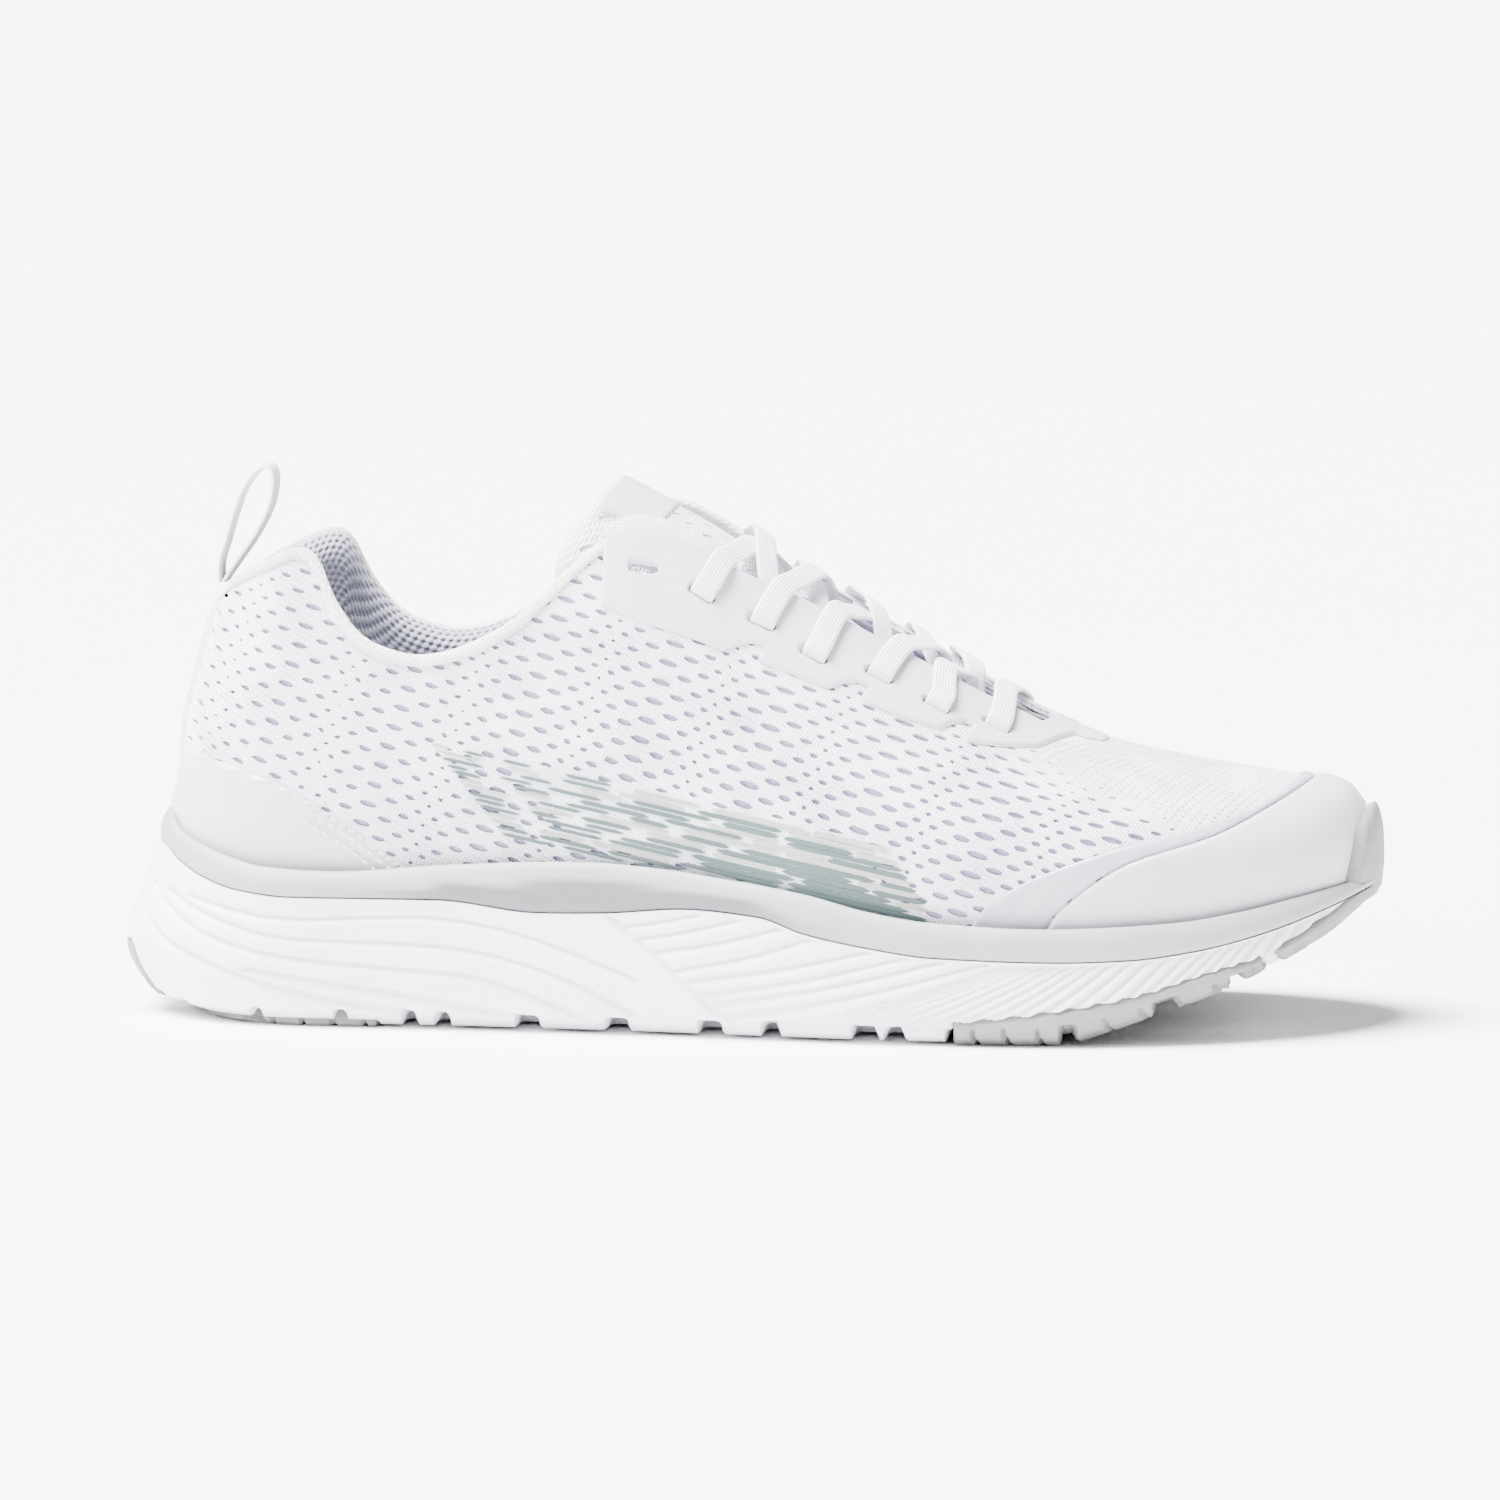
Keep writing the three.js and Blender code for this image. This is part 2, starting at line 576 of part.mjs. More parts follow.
function soleLoft(levels) {
  const rows = levels.map((level) => stations(level.heel * gradeX, level.toe * gradeX)
    .map(({ x, open }) => ({ x, z: level.height(x), centre: centreLine(x) * gradeY,
      across: (halfWidth(x) * gradeY + level.spread) * open })));
  const rings = rows[0].map((_, i) => [
    ...rows.map((row) => [row[i].x, row[i].centre - row[i].across, row[i].z]),
    ...rows.map((row) => [row[i].x, row[i].centre + row[i].across, row[i].z]).reverse()]);
  return loft(rings);
}

/** The sole below the parting line, pulled in all round by an inset. */
function soleBody(inset) {
  return soleLoft(sideLevels.map((level) => ({
    spread: level.spread - inset,
    heel: level.heel + inset / gradeX,
    toe: level.toe - inset / gradeX,
    height: (x) => {
      const low = ground(x) + inset;
      return low + (parting(x) - low) * level.share;
    },
  })));
}

/** The foam before the rubber's room is cut: its underside stays clear of the ground. */
function foamBody() {
  return soleLoft(sideLevels.map((level) => ({
    ...level,
    height: (x) => {
      const low = ground(x) + FOAM_LIFT;
      return low + (parting(x) - low) * level.share;
    },
  })));
}

const plan = (points) => points.map(([x, y]) => new THREE.Vector2(x * gradeX, y * gradeY));

/** A closed outline with every side moved out by a distance. */
function grown(points, distance) {
  const outward = THREE.ShapeUtils.isClockWise(points) ? -1 : 1;
  const sideNormal = (from, to) => {
    const along = to.clone().sub(from).normalize();
    return new THREE.Vector2(along.y * outward, -along.x * outward);
  };
  return points.map((point, i) => {
    const before = sideNormal(points[(i + points.length - 1) % points.length], point);
    const after = sideNormal(point, points[(i + 1) % points.length]);
    const reach = distance / (1 + before.dot(after));
    return point.clone().addScaledVector(before.add(after), reach);
  });
}

/** Ground below the line that the rubber reaches up to on the sidewall. */
const rubberReach = sidePrism([...graded([[-20, 17], [3, 17], [9, 8], [22, 4.4], [70, 4.2],
  [196, 4.2], [210, 5.4], [230, 8.4], [246, 11.4], [263, 16.6], [275, 20], [284, 25.5],
  [290, 29.5], [296, 34], [330, 34]]), ...graded([[330, -20], [-20, -20]])]);

const pads = {
  outsole_heel_lateral: [[-10, -60], [62, -60], [66, -30], [60, -10], [40, -7], [-10, -7]],
  outsole_heel_medial: [[-10, 60], [-10, 7], [40, 7], [56, 10], [60, 30], [57, 60]],
  outsole_front_lateral: [[206, -80], [274, -80], [274, -22], [262, -20], [236, -22], [200, -26]],
  outsole_front_centre: [[198, -21], [236, -17], [262, -15], [270, 4], [262, 18], [236, 19],
    [200, 19]],
  outsole_front_medial: [[204, 24], [236, 24], [262, 23], [272, 25], [272, 80], [210, 80]],
  outsole_toe: [[277.5, -80], [330, -80], [330, 80], [275.5, 80], [275.5, 22], [273.5, 4],
    [277.5, -18]],
};

const BUMPER_THICKNESS = 2.8;
const BUMPER_MIDDLE = 6 * gradeY;
const BUMPER_START = TOE_JOIN + 50 * gradeX;
const bumperHalf = [[24, 12], [21, 36], [13, 48], [6, 50.4]]; // half width at each height

/** The bumper seen from the front: wide at the sole, rounded at the top of the toe. */
function bumperPrism(grow) {
  const half = bumperHalf.map(([y, z]) => [y + grow, z + grow]);
  const right = half.map(([y, z]) => new THREE.Vector2(BUMPER_MIDDLE + y, z));
  const left = half.map(([y, z]) => new THREE.Vector2(BUMPER_MIDDLE - y, z)).reverse();
  return frontPrism([...right, ...left], BUMPER_START, TOE_END * 2);
}

/** Rubber wall in front of the toe, or the room for it when grown. */
function bumperBody(grow) {
  const wall = lastBody(cupClearance + BUMPER_THICKNESS + grow);
  return wall.subtract(lastBody(cupClearance)).intersect(bumperPrism(grow));
}

const shoeCup = lastBody(cupClearance, GLUE_ROOM);

function makePad(name) {
  const region = planPrism(plan(pads[name]), -10, 60);
  const rubber = soleBody(0).subtract(soleBody(RUBBER_THICKNESS));
  const pad = rubber.intersect(region).intersect(rubberReach);
  return name === 'outsole_toe' ? pad.add(bumperBody(0)).subtract(shoeCup) : pad;
}

/** Everything that the rubber and its glue gap take out of the foam. */
function rubberRoom() {
  const outside = soleBody(-4).subtract(soleBody(RUBBER_THICKNESS + GLUE_ROOM));
  const reach = rubberReach.translate([0, 0, GAP]);
  const rooms = Object.values(pads).map((outline) => {
    const region = planPrism(grown(plan(outline), GAP), -10, 60);
    return outside.intersect(region).intersect(reach);
  });
  return rooms.reduce((all, room) => all.add(room)).add(bumperBody(GAP));
}

const room = rubberRoom();
const padBodies = Object.fromEntries(Object.keys(pads).map((name) => [name,
  cleaned(makePad(name))]));

/** A body less the toe's rubber, with a gap kept behind it and below it. */
function behindToe(body) {
  const toe = padBodies.outsole_toe;
  return body.subtract(toe).subtract(toe.translate([-GAP, 0, 0]))
    .subtract(toe.translate([0, 0, -GAP]));
}

function makeMidsole() {
  return behindToe(foamBody().subtract(shoeCup).subtract(room));
}

/** Grey band that wraps the foot above the parting line. */
function makeRim() {
  const levels = [
    { spread: 5.1, heel: 8.4, toe: BASE_LENGTH, height: (x) => parting(x) + GAP },
    { spread: cupClearance + RIM_LIP, heel: HEEL_END / gradeX - cupClearance - RIM_LIP,
      toe: TOE_END / gradeX + cupClearance + RIM_LIP, height: rimTop },
  ];
  return behindToe(soleLoft(levels).subtract(shoeCup).subtract(room));
}

/** A board that fills the bottom of the shoe, between two heights above the footbed. */
function footBoard(low, high, inset) {
  const body = lastBody(-inset);
  return body.subtract(belowFootbed(low)).intersect(belowFootbed(high));
}

const boardInset = -collarLiningIn + GAP;
const strobelLow = 0.6; // the board lies this far above the footbed
const strobelTop = strobelLow + STROBEL_THICKNESS;

// ---------- lace ----------

const laceLift = overlayOut + GAP + 0.8; // middle of a lace run lying on the eyestay
const laceSink = vampLiningIn - GAP - 0.9; // middle of a run under the eyestay
// Height of the middle of a lace where it crosses between the eyestays.
const crossingHeight = profile([[138, 121.5], [150, 114.6], [162, 106.8], [177, 97.2], [187, 90.8],
  [200, 83.2], [212, 77.8]]);
const CROSSING_GAP = 1.25; // half the distance between the two laces of a crossing
const LACE_LEAN = 3.5; // each run over the throat starts this far towards the toe of its slots
const BAR_ROOM = 2.5; // except the first, which starts this far behind the bar

/** Height of the last's surface at a distance from the centre line. */
function heightAt(x, across) {
  const share = across / (halfWidth(x) * gradeY);
  return widest(x) + (ridge(x) - widest(x)) * Math.sqrt(1 - share * share);
}

/** Upward direction square to the lace crossings at the middle of the throat. */
function throatNormal(x) {
  const rise = crossingHeight(x + 2) - crossingHeight(x - 2);
  return new THREE.Vector3(-rise, 0, 4).normalize();
}

/** Control points of a lace, each with the direction that its flat side faces. */
class LaceRoute {
  constructor() {
    this.points = [];
    this.flats = [];
    this.sign = 1;
  }

  add(point, flat) {
    this.points.push(point);
    this.flats.push(flat.clone().multiplyScalar(this.sign));
  }

  addAcross(x, across, side, lift) {
    const { point, normal } = onLast(x, heightAt(x, across), side, lift);
    this.add(point, normal);
  }

  /** Down through a slot from above and back under the eyestay towards the throat. */
  throughSlot(row, side) {
    const { middle, normal, away } = slotFrame(row, side);
    const at = (out, up) => middle.clone().addScaledVector(away, out).addScaledVector(normal, up);
    this.add(at(-2.6, laceLift), normal);
    this.add(at(-0.9, laceLift - 0.1), normal);
    this.add(at(0.25, laceLift - 1.7), away);
    this.add(at(0.25, laceSink + 1.5), away);
    this.sign *= -1;
    this.add(at(-0.9, laceSink + 0.1), normal);
    this.add(at(-2.6, laceSink), normal);
  }

  /** Out of the throat edge and across to the slot one row up on the other side. */
  crossFrom(row, side, over) {
    const nearX = slots[row].x + (row < LAST_ROW ? LACE_LEAN : -BAR_ROOM) * gradeX;
    const farX = slots[row - 1].x + (row < LAST_ROW ? LACE_LEAN : 0) * gradeX;
    const near = edgeAcross(nearX);
    const far = edgeAcross(farX);
    this.addAcross(nearX, near - 1, side, laceSink);
    this.addAcross(nearX - 1.5, near - 5, side, laceSink + 0.3);
    const middleX = (nearX + farX) / 2;
    const up = throatNormal(middleX);
    const lift = over ? CROSSING_GAP : -CROSSING_GAP;
    const top = new THREE.Vector3(middleX, centreLine(middleX) * gradeY, crossingHeight(middleX));
    this.add(top.addScaledVector(up, lift), up);
    const landing = onLast(farX, heightAt(farX, far + 0.5), -side, laceLift);
    const facing = landing.normal.clone().add(up).normalize();
    this.add(landing.point.clone().lerp(top, 0.35).addScaledVector(facing, 0.5), facing);
    this.add(landing.point, landing.normal);
  }
}

function halfRoute(side, over) {
  const route = new LaceRoute();
  let here = side;
  for (let row = LAST_ROW; row > 1; row -= 1) {
    route.throughSlot(row, here);
    route.crossFrom(row, here, over);
    here = -here;
  }
  route.throughSlot(1, here);
  return { route, side: here };
}

// The tails hang down inside the quarters to their aglets.
const tailLine = [[139.5, 96], [138.6, 88], [138.2, 80], [138, 73]];
const AGLET_TOP = 72.4;
const AGLET_RADIUS = 1.5;
const tailSink = vampLiningIn - GAP * 2 - AGLET_RADIUS; // middle of a tail below the surface

function laceRoute() {
  const first = halfRoute(-1, true);
  const second = halfRoute(1, false);
  for (const { route, side } of [first, second]) {
    for (const [x, z] of tailLine) {
      const { point, normal } = onLast(x * gradeX, z, side, tailSink);
      route.add(point, normal);
    }
  }
  const barX = slots[LAST_ROW].x;
  const bar = [-1, 1].map((side) => onLast(barX, edgeHeight(barX) - 0.6, side, laceLift));
  const top = new THREE.Vector3(barX, centreLine(barX) * gradeY, ridge(barX) + laceLift - 0.4);
  return {
    points: [...first.route.points.reverse(), bar[0].point, top, bar[1].point,
      ...second.route.points],
    flats: [...first.route.flats.reverse(), bar[0].normal, throatNormal(barX), bar[1].normal,
      ...second.route.flats],
  };
}

/** Flat band along control points; each flat says which way its broad side faces. */
function ribbon({ points, flats }, width, thickness, stepsPerSpan) {
  const curve = new THREE.CatmullRomCurve3(points, false, 'centripetal');
  const spans = points.length - 1;
  const rings = [];
  for (let i = 0; i <= spans * stepsPerSpan; i += 1) {
    const t = i / (spans * stepsPerSpan);
    const k = Math.min(Math.floor(t * spans), spans - 1);
    const flat = flats[k].clone().lerp(flats[k + 1], t * spans - k);
    const tangent = curve.getTangent(t);
    const across = new THREE.Vector3().crossVectors(flat, tangent).normalize();
    const up = new THREE.Vector3().crossVectors(tangent, across).normalize();
    const middle = curve.getPoint(t);
    rings.push([[-1, -1], [1, -1], [1, 1], [-1, 1]].map(([a, b]) => middle.clone()
      .addScaledVector(across, (a * width) / 2).addScaledVector(up, (b * thickness) / 2)
      .toArray()));
  }
  return cappedLoft(rings);
}

function makeAglet(side) {
  const top = onLast(138 * gradeX, AGLET_TOP, side, tailSink);
  const low = onLast(138 * gradeX, AGLET_TOP - AGLET_LENGTH, side, tailSink);
  const along = low.point.clone().sub(top.point).normalize();
  const geometry = new THREE.CylinderGeometry(AGLET_RADIUS, AGLET_RADIUS, AGLET_LENGTH, 10);
  const turn = new THREE.Quaternion().setFromUnitVectors(new THREE.Vector3(0, 1, 0), along);
  geometry.applyQuaternion(turn);
  const middle = top.point.clone().addScaledVector(along, AGLET_LENGTH / 2);
  geometry.translate(middle.x, middle.y, middle.z);
  return solid(geometry);
}

// ---------- pull loop ----------

const loopOuter = smooth(graded([[22, 101.4], [22.1, 106], [23.6, 111], [25.3, 116.8],
  [27.6, 123.2], [30.7, 127.8], [33.6, 129.5], [35.6, 128.6], [36.3, 125.7], [35.7, 121],
  [34.1, 116.6], [31.2, 111.4], [28.4, 107.4], [25.9, 103.8], [24.2, 101.3]]), 32);

function makePullLoop() {
  const inner = shifted(loopOuter, LOOP_THICKNESS).slice(2, -2);
  const body = sidePrism(loopOuter, -LOOP_WIDTH / 2, LOOP_WIDTH / 2);
  return body.subtract(sidePrism(inner, -LOOP_WIDTH, LOOP_WIDTH));
}

// ---------- assembly ----------

const finish = {
  mesh: { color: 0xe9e8ee, roughness: 0.9 },
  lining: { color: 0x8d8793, roughness: 0.95 },
  film: { color: 0xf4f4f5, roughness: 0.45 },
  clear: { color: 0xdcdce0, roughness: 0.35 },
  knit: { color: 0xf1f1f1, roughness: 0.95 },
  foam: { color: 0xf6f6f8, roughness: 0.7 },
  rim: { color: 0xcfd0d2, roughness: 0.6 },
  rubber: { color: 0xc9cacd, roughness: 0.75 },
  board: { color: 0xd9d6cf, roughness: 0.9 },
  insole: { color: 0x77727c, roughness: 0.95 },
  stiffener: { color: 0xbfbdb6, roughness: 0.8 },
  lace: { color: 0xf7f7f7, roughness: 0.9 },
  aglet: { color: 0xeeeeee, roughness: 0.25 },
};

const shoe = new THREE.Group();

function addPiece(name, body, look) {
  const { vertProperties, triVerts, numProp } = cleaned(body).getMesh();
  const position = [];
  for (let i = 0; i < vertProperties.length; i += numProp) {
    position.push(vertProperties[i], vertProperties[i + 1], vertProperties[i + 2]);
  }
  const geometry = new THREE.BufferGeometry();
  geometry.setAttribute('position', new THREE.Float32BufferAttribute(position, 3));
  geometry.setIndex([...triVerts]);
  const faceted = geometry.toNonIndexed();
  faceted.computeVertexNormals();
  const material = new THREE.MeshStandardMaterial({ ...finish[look], metalness: 0 });
  const mesh = new THREE.Mesh(faceted, material);
  mesh.name = name;
  shoe.add(mesh);
}

addPiece('midsole', makeMidsole(), 'foam');
addPiece('midsole_rim', makeRim(), 'rim');
Object.entries(padBodies).forEach(([name, body]) => addPiece(name, body, 'rubber'));
addPiece('strobel_board', footBoard(strobelLow, strobelTop, boardInset), 'board');
addPiece('insole', footBoard(strobelTop + GAP, strobelTop + GAP + INSOLE_THICKNESS, boardInset),
  'insole');
addPiece('upper_mesh', makeUpperMesh(), 'mesh');
addPiece('vamp_lining', makeVampLining(), 'lining');
addPiece('collar_lining', makeCollarLining(), 'lining');
addPiece('collar_foam', makeCollarFoam(), 'board');
addPiece('heel_counter', makeHeelCounter(), 'stiffener');
addPiece('toe_puff', makeToePuff(), 'stiffener');
addPiece('toe_cap', makeToeCap(), 'film');
addPiece('toe_film', makeToeFilm(), 'clear');
addPiece('eyestay', makeEyestay(), 'film');
addPiece('eyestay_backing', makeEyestayBacking(), 'stiffener');
addPiece('heel_overlay', makeHeelOverlay(), 'film');
addPiece('backstay_tape', makeBackstay(), 'knit');
addPiece('collar_binding', makeCollarBinding(), 'knit');
addPiece('tongue_face', tongueSheet(() => 0, faceIn, 0, 1, 0), 'mesh');
addPiece('tongue_foam', tongueSheet(foamOut, foamBack, 0, 1, 0), 'board');
addPiece('tongue_lining', tongueSheet(backOut, backIn, 0, 1, 0), 'lining');
addPiece('tongue_tab', makeTongueTab(), 'film');
addPiece('lace', ribbon(laceRoute(), LACE_WIDTH, LACE_THICKNESS, 2), 'lace');
addPiece('aglet_lateral', makeAglet(-1), 'aglet');
addPiece('aglet_medial', makeAglet(1), 'aglet');
addPiece('pull_loop', makePullLoop(), 'knit');

// The origin goes to the bottom centre of the whole shoe's box.
const box = new THREE.Box3().setFromObject(shoe);
const middle = box.getCenter(new THREE.Vector3());
shoe.position.set(-middle.x, -middle.y, -box.min.z);

export default shoe;
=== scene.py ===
"""Running shoe (right foot): the looks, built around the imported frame.

Shapes are worked out in pattern millimetres: x from the heel of the sole to the toe, y to the
inner (medial) side, z up from the ground. to_scene() turns them into the frame's metres.
"""

import math

import bpy
import numpy as np
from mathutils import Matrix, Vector


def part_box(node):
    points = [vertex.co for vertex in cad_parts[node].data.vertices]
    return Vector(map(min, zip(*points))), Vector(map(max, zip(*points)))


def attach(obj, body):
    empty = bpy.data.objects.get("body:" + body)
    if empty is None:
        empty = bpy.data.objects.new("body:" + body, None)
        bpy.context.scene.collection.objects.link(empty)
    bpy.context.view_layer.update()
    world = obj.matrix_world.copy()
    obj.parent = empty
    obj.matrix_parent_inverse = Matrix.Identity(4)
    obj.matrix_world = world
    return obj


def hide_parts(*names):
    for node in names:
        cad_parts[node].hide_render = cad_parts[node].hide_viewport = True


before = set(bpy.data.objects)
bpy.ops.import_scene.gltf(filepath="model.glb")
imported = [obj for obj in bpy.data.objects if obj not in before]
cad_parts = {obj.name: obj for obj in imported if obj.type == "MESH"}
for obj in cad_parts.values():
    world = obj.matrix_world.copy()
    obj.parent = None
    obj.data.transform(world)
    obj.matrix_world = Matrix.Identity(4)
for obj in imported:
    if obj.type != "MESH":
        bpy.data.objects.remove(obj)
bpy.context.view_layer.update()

CAD_NODES = set(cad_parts)
MM = 0.001
HALF_PI = math.pi / 2
FAR = 1e9  # further than anything, as a start for a smallest distance
SIDES = (("lateral", -1), ("medial", 1))

loop_low, loop_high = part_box("pull_loop")
ORIGIN = np.array([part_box("midsole")[0][0], (loop_low[1] + loop_high[1]) / 2, 0.0])


def to_scene(points):
    """Pattern millimetres to the frame's metres."""
    return np.asarray(points, float) * MM + ORIGIN


# ---------- curves ----------

def profile(*pairs):
    """Monotone cubic curve through (x, value) pairs, held level past both ends."""
    xs = np.array([pair[0] for pair in pairs], float)
    ys = np.array([pair[1] for pair in pairs], float)
    slope = np.diff(ys) / np.diff(xs)
    before = np.concatenate([slope[:1], slope])
    after = np.concatenate([slope, slope[-1:]])
    total = np.where(before + after == 0, 1, before + after)
    tangent = np.where(before * after > 0, 2 * before * after / total, 0)

    def value(x):
        x = np.clip(x, xs[0], xs[-1])
        i = np.clip(np.searchsorted(xs, x, side="right") - 1, 0, len(xs) - 2)
        h = xs[i + 1] - xs[i]
        t = (x - xs[i]) / h
        return (ys[i] * (2 * t**3 - 3 * t**2 + 1) + tangent[i] * h * (t**3 - 2 * t**2 + t)
                + ys[i + 1] * (3 * t**2 - 2 * t**3) + tangent[i + 1] * h * (t**3 - t**2))

    return value


def smooth(points, count):
    """Uniform Catmull-Rom run through a few points."""
    p = np.array(points, float)
    last_span = len(p) - 1
    t = np.linspace(0, last_span, count + 1)
    i = np.minimum(t.astype(int), last_span - 1)
    w = (t - i)[:, None]
    start, end = p[i], p[i + 1]
    leave = (end - p[np.maximum(i - 1, 0)]) / 2
    arrive = (p[np.minimum(i + 2, last_span)] - start) / 2
    return ((2 * start - 2 * end + leave + arrive) * w**3
            + (-3 * start + 3 * end - 2 * leave - arrive) * w**2 + leave * w + start)


def centripetal(points, steps):
    """Centripetal Catmull-Rom run with a number of steps in each span."""
    p = np.array(points, float)
    p = np.vstack([2 * p[0] - p[1], p, 2 * p[-1] - p[-2]])
    runs = []
    for i in range(1, len(p) - 2):
        a, b, c, d = p[i - 1:i + 3]
        first, middle, third = [max(np.linalg.norm(v), 1e-6) ** 0.5 for v in (b - a, c - b, d - c)]
        leave = ((b - a) / first - (c - a) / (first + middle) + (c - b) / middle) * middle
        arrive = ((c - b) / middle - (d - b) / (middle + third) + (d - c) / third) * middle
        t = (np.arange(steps) / steps)[:, None]
        runs.append(b + leave * t + (-3 * b + 3 * c - 2 * leave - arrive) * t**2
                    + (2 * b - 2 * c + leave + arrive) * t**3)
    return np.vstack(runs + [p[-2:-1]])


def lengths_along(points):
    """Length of a run from its start to each of its points."""
    steps = np.linalg.norm(np.diff(points, axis=0), axis=1)
    return np.concatenate([[0], np.cumsum(steps)])


def spaced(points, step):
    """The run resampled at an even step."""
    length = lengths_along(points)
    at = np.linspace(0, length[-1], max(int(round(length[-1] / step)), 2) + 1)
    return np.stack([np.interp(at, length, column) for column in points.T], 1)


def unit(vectors):
    """Vectors scaled to length one, row by row."""
    return vectors / np.linalg.norm(vectors, axis=-1, keepdims=True)


def shifted(points, distance):
    """A plane run moved sideways, to the right of its direction."""
    along = unit(np.gradient(points, axis=0))
    return points + distance * np.stack([along[:, 1], -along[:, 0]], 1)


def columns_of(points):
    """The x, y and z of points, each as an array."""
    return points[..., 0], points[..., 1], points[..., 2]


def distance_to(px, pz, outline, closed=True):
    """Distance to an outline; negative inside a closed one."""
    outline = np.asarray(outline, float)
    ends = np.roll(outline, -1, axis=0)
    if not closed:
        outline, ends = outline[:-1], ends[:-1]
    best = np.full(np.shape(px), FAR)
    inside = np.zeros(np.shape(px), bool)
    for (ax, az), (bx, bz) in zip(outline, ends):
        dx, dz = bx - ax, bz - az
        t = np.clip(((px - ax) * dx + (pz - az) * dz) / max(dx * dx + dz * dz, 1e-9), 0, 1)
        best = np.minimum(best, (px - ax - t * dx) ** 2 + (pz - az - t * dz) ** 2)
        if abs(dz) > 1e-9:
            inside ^= ((az > pz) != (bz > pz)) & (px < ax + (pz - az) * dx / dz)
    best = np.sqrt(best)
    return np.where(inside, -best, best) if closed else best


def ramp(value, start, end):
    """0 before start, 1 after end, smooth between."""
    t = np.clip((value - start) / (end - start), 0, 1)
    return t * t * (3 - 2 * t)


# ---------- the last: the surface that the outer mesh is pulled over ----------

HEEL_JOIN, TOE_JOIN = 50, 215  # the round ends reach from the ends to these places
HEEL_END, TOE_END = 12, 294.5
ROUNDNESS = 2.2  # exponent of both round ends, seen from above
TUCK = 5  # how far the side turns in below the widest line
LOW_SHARE = 0.25  # share of a side's parameter that lies below the widest line
LEAN_END = 70  # the heel's lean fades out up to this place

footbed = profile((10, 27), (60, 25.5), (120, 24), (160, 21), (200, 17.8), (230, 17.8), (250, 20),
                  (270, 24.5), (285, 29), (294, 32))
widest = profile((10, 56), (60, 54), (120, 48), (168, 42.5), (216, 40), (260, 40), (294, 41))
ridge = profile((10, 140), (100, 142), (121, 141), (140, 131), (150, 120.5), (168, 105.5),
                (184, 93.4), (197, 85.3), (216, 73.4), (234, 66.3), (252, 62.3), (271, 59.2),
                (285, 57), (290, 55.2), (294.5, 50))
half_width = profile((45, 35), (80, 35.2), (120, 37), (160, 42), (190, 47), (215, 49))
centre_line = profile((45, 0), (80, -1.2), (120, -3), (160, -4), (190, -3), (215, -1),
                      (240, 0.8), (265, 3), (285, 5), (294.5, 7))
heel_lean = profile((0, 0), (48, 0), (56, 1.9), (68, 2.8), (75, 4.3), (84.5, 6.9), (94, 9.7),
                    (99, 11.6), (140, 25))


def station(u, heel_end, toe_end):
    """Place x and opening of the station u, from 0 at the heel's end to 3 at the toe's end."""
    power = 2 / ROUNDNESS
    heel_angle = np.clip(u, 0, 1) * HALF_PI
    toe_angle = np.clip(u - 2, 0, 1) * HALF_PI
    heel_x = HEEL_JOIN - (HEEL_JOIN - heel_end) * np.clip(np.cos(heel_angle), 0, 1) ** power
    middle_x = HEEL_JOIN + (TOE_JOIN - HEEL_JOIN) * (u - 1)
    toe_x = TOE_JOIN + (toe_end - TOE_JOIN) * np.sin(toe_angle) ** power
    x = np.where(u < 1, heel_x, np.where(u < 2, middle_x, toe_x))
    opening = np.where(u < 1, np.sin(heel_angle) ** power,
                       np.clip(np.cos(toe_angle), 0, 1) ** power)
    return x, np.where((u <= 0) | (u >= 3), 0, opening)


def last(u, v, offset=0.0):
    """Point of the last moved out by an offset: v is -1 at the lateral footbed, 0 on the ridge
    and 1 at the medial footbed."""
    u, v, offset = np.broadcast_arrays(np.asarray(u, float), v, offset)
    x, opening = station(u, HEEL_END - offset, TOE_END + offset)
    rise = 1 - np.abs(v)
    width = half_width(x) + offset
    low, mid, top = footbed(x), widest(x), ridge(x) + offset
    t = np.clip(rise / LOW_SHARE, 0, 1)
    angle = np.clip((rise - LOW_SHARE) / (1 - LOW_SHARE), 0, 1) * HALF_PI
    below = rise < LOW_SHARE
    across = np.where(below, width - TUCK * (1 - t) ** 2, width * np.cos(angle))
    z = np.where(below, low + (mid - low) * t, mid + (top - mid) * np.sin(angle))
    share = (1 - np.clip((x - HEEL_END) / (LEAN_END - HEEL_END), 0, 1)) ** 2
    return np.stack([x + heel_lean(z) * share,
                     centre_line(x) + np.sign(v) * across * opening, z], -1)


def even_stations(step, surface_line, start=0.0, end=3.0):
    """Station values whose points on a line of the surface are evenly spaced."""
    u = np.linspace(start, end, 3000)
    length = lengths_along(surface_line(u))
    return np.interp(np.linspace(0, length[-1], int(length[-1] / step) + 1), length, u)


def last_stations(step):
    return even_stations(step, lambda u: last(u, -0.7))


def girth_table():
    """Height along the surface at evenly spaced stations and ways up the side."""
    u, v = np.linspace(0, 3, 400), np.linspace(1, 0, 200)
    steps = np.linalg.norm(np.diff(last(u[:, None], v[None, :]), axis=1), axis=2)
    climbed = np.concatenate([np.zeros((len(u), 1)), np.cumsum(steps, axis=1)], 1)
    return climbed + footbed(station(u, HEEL_END, TOE_END)[0])[:, None]


GIRTH = girth_table()


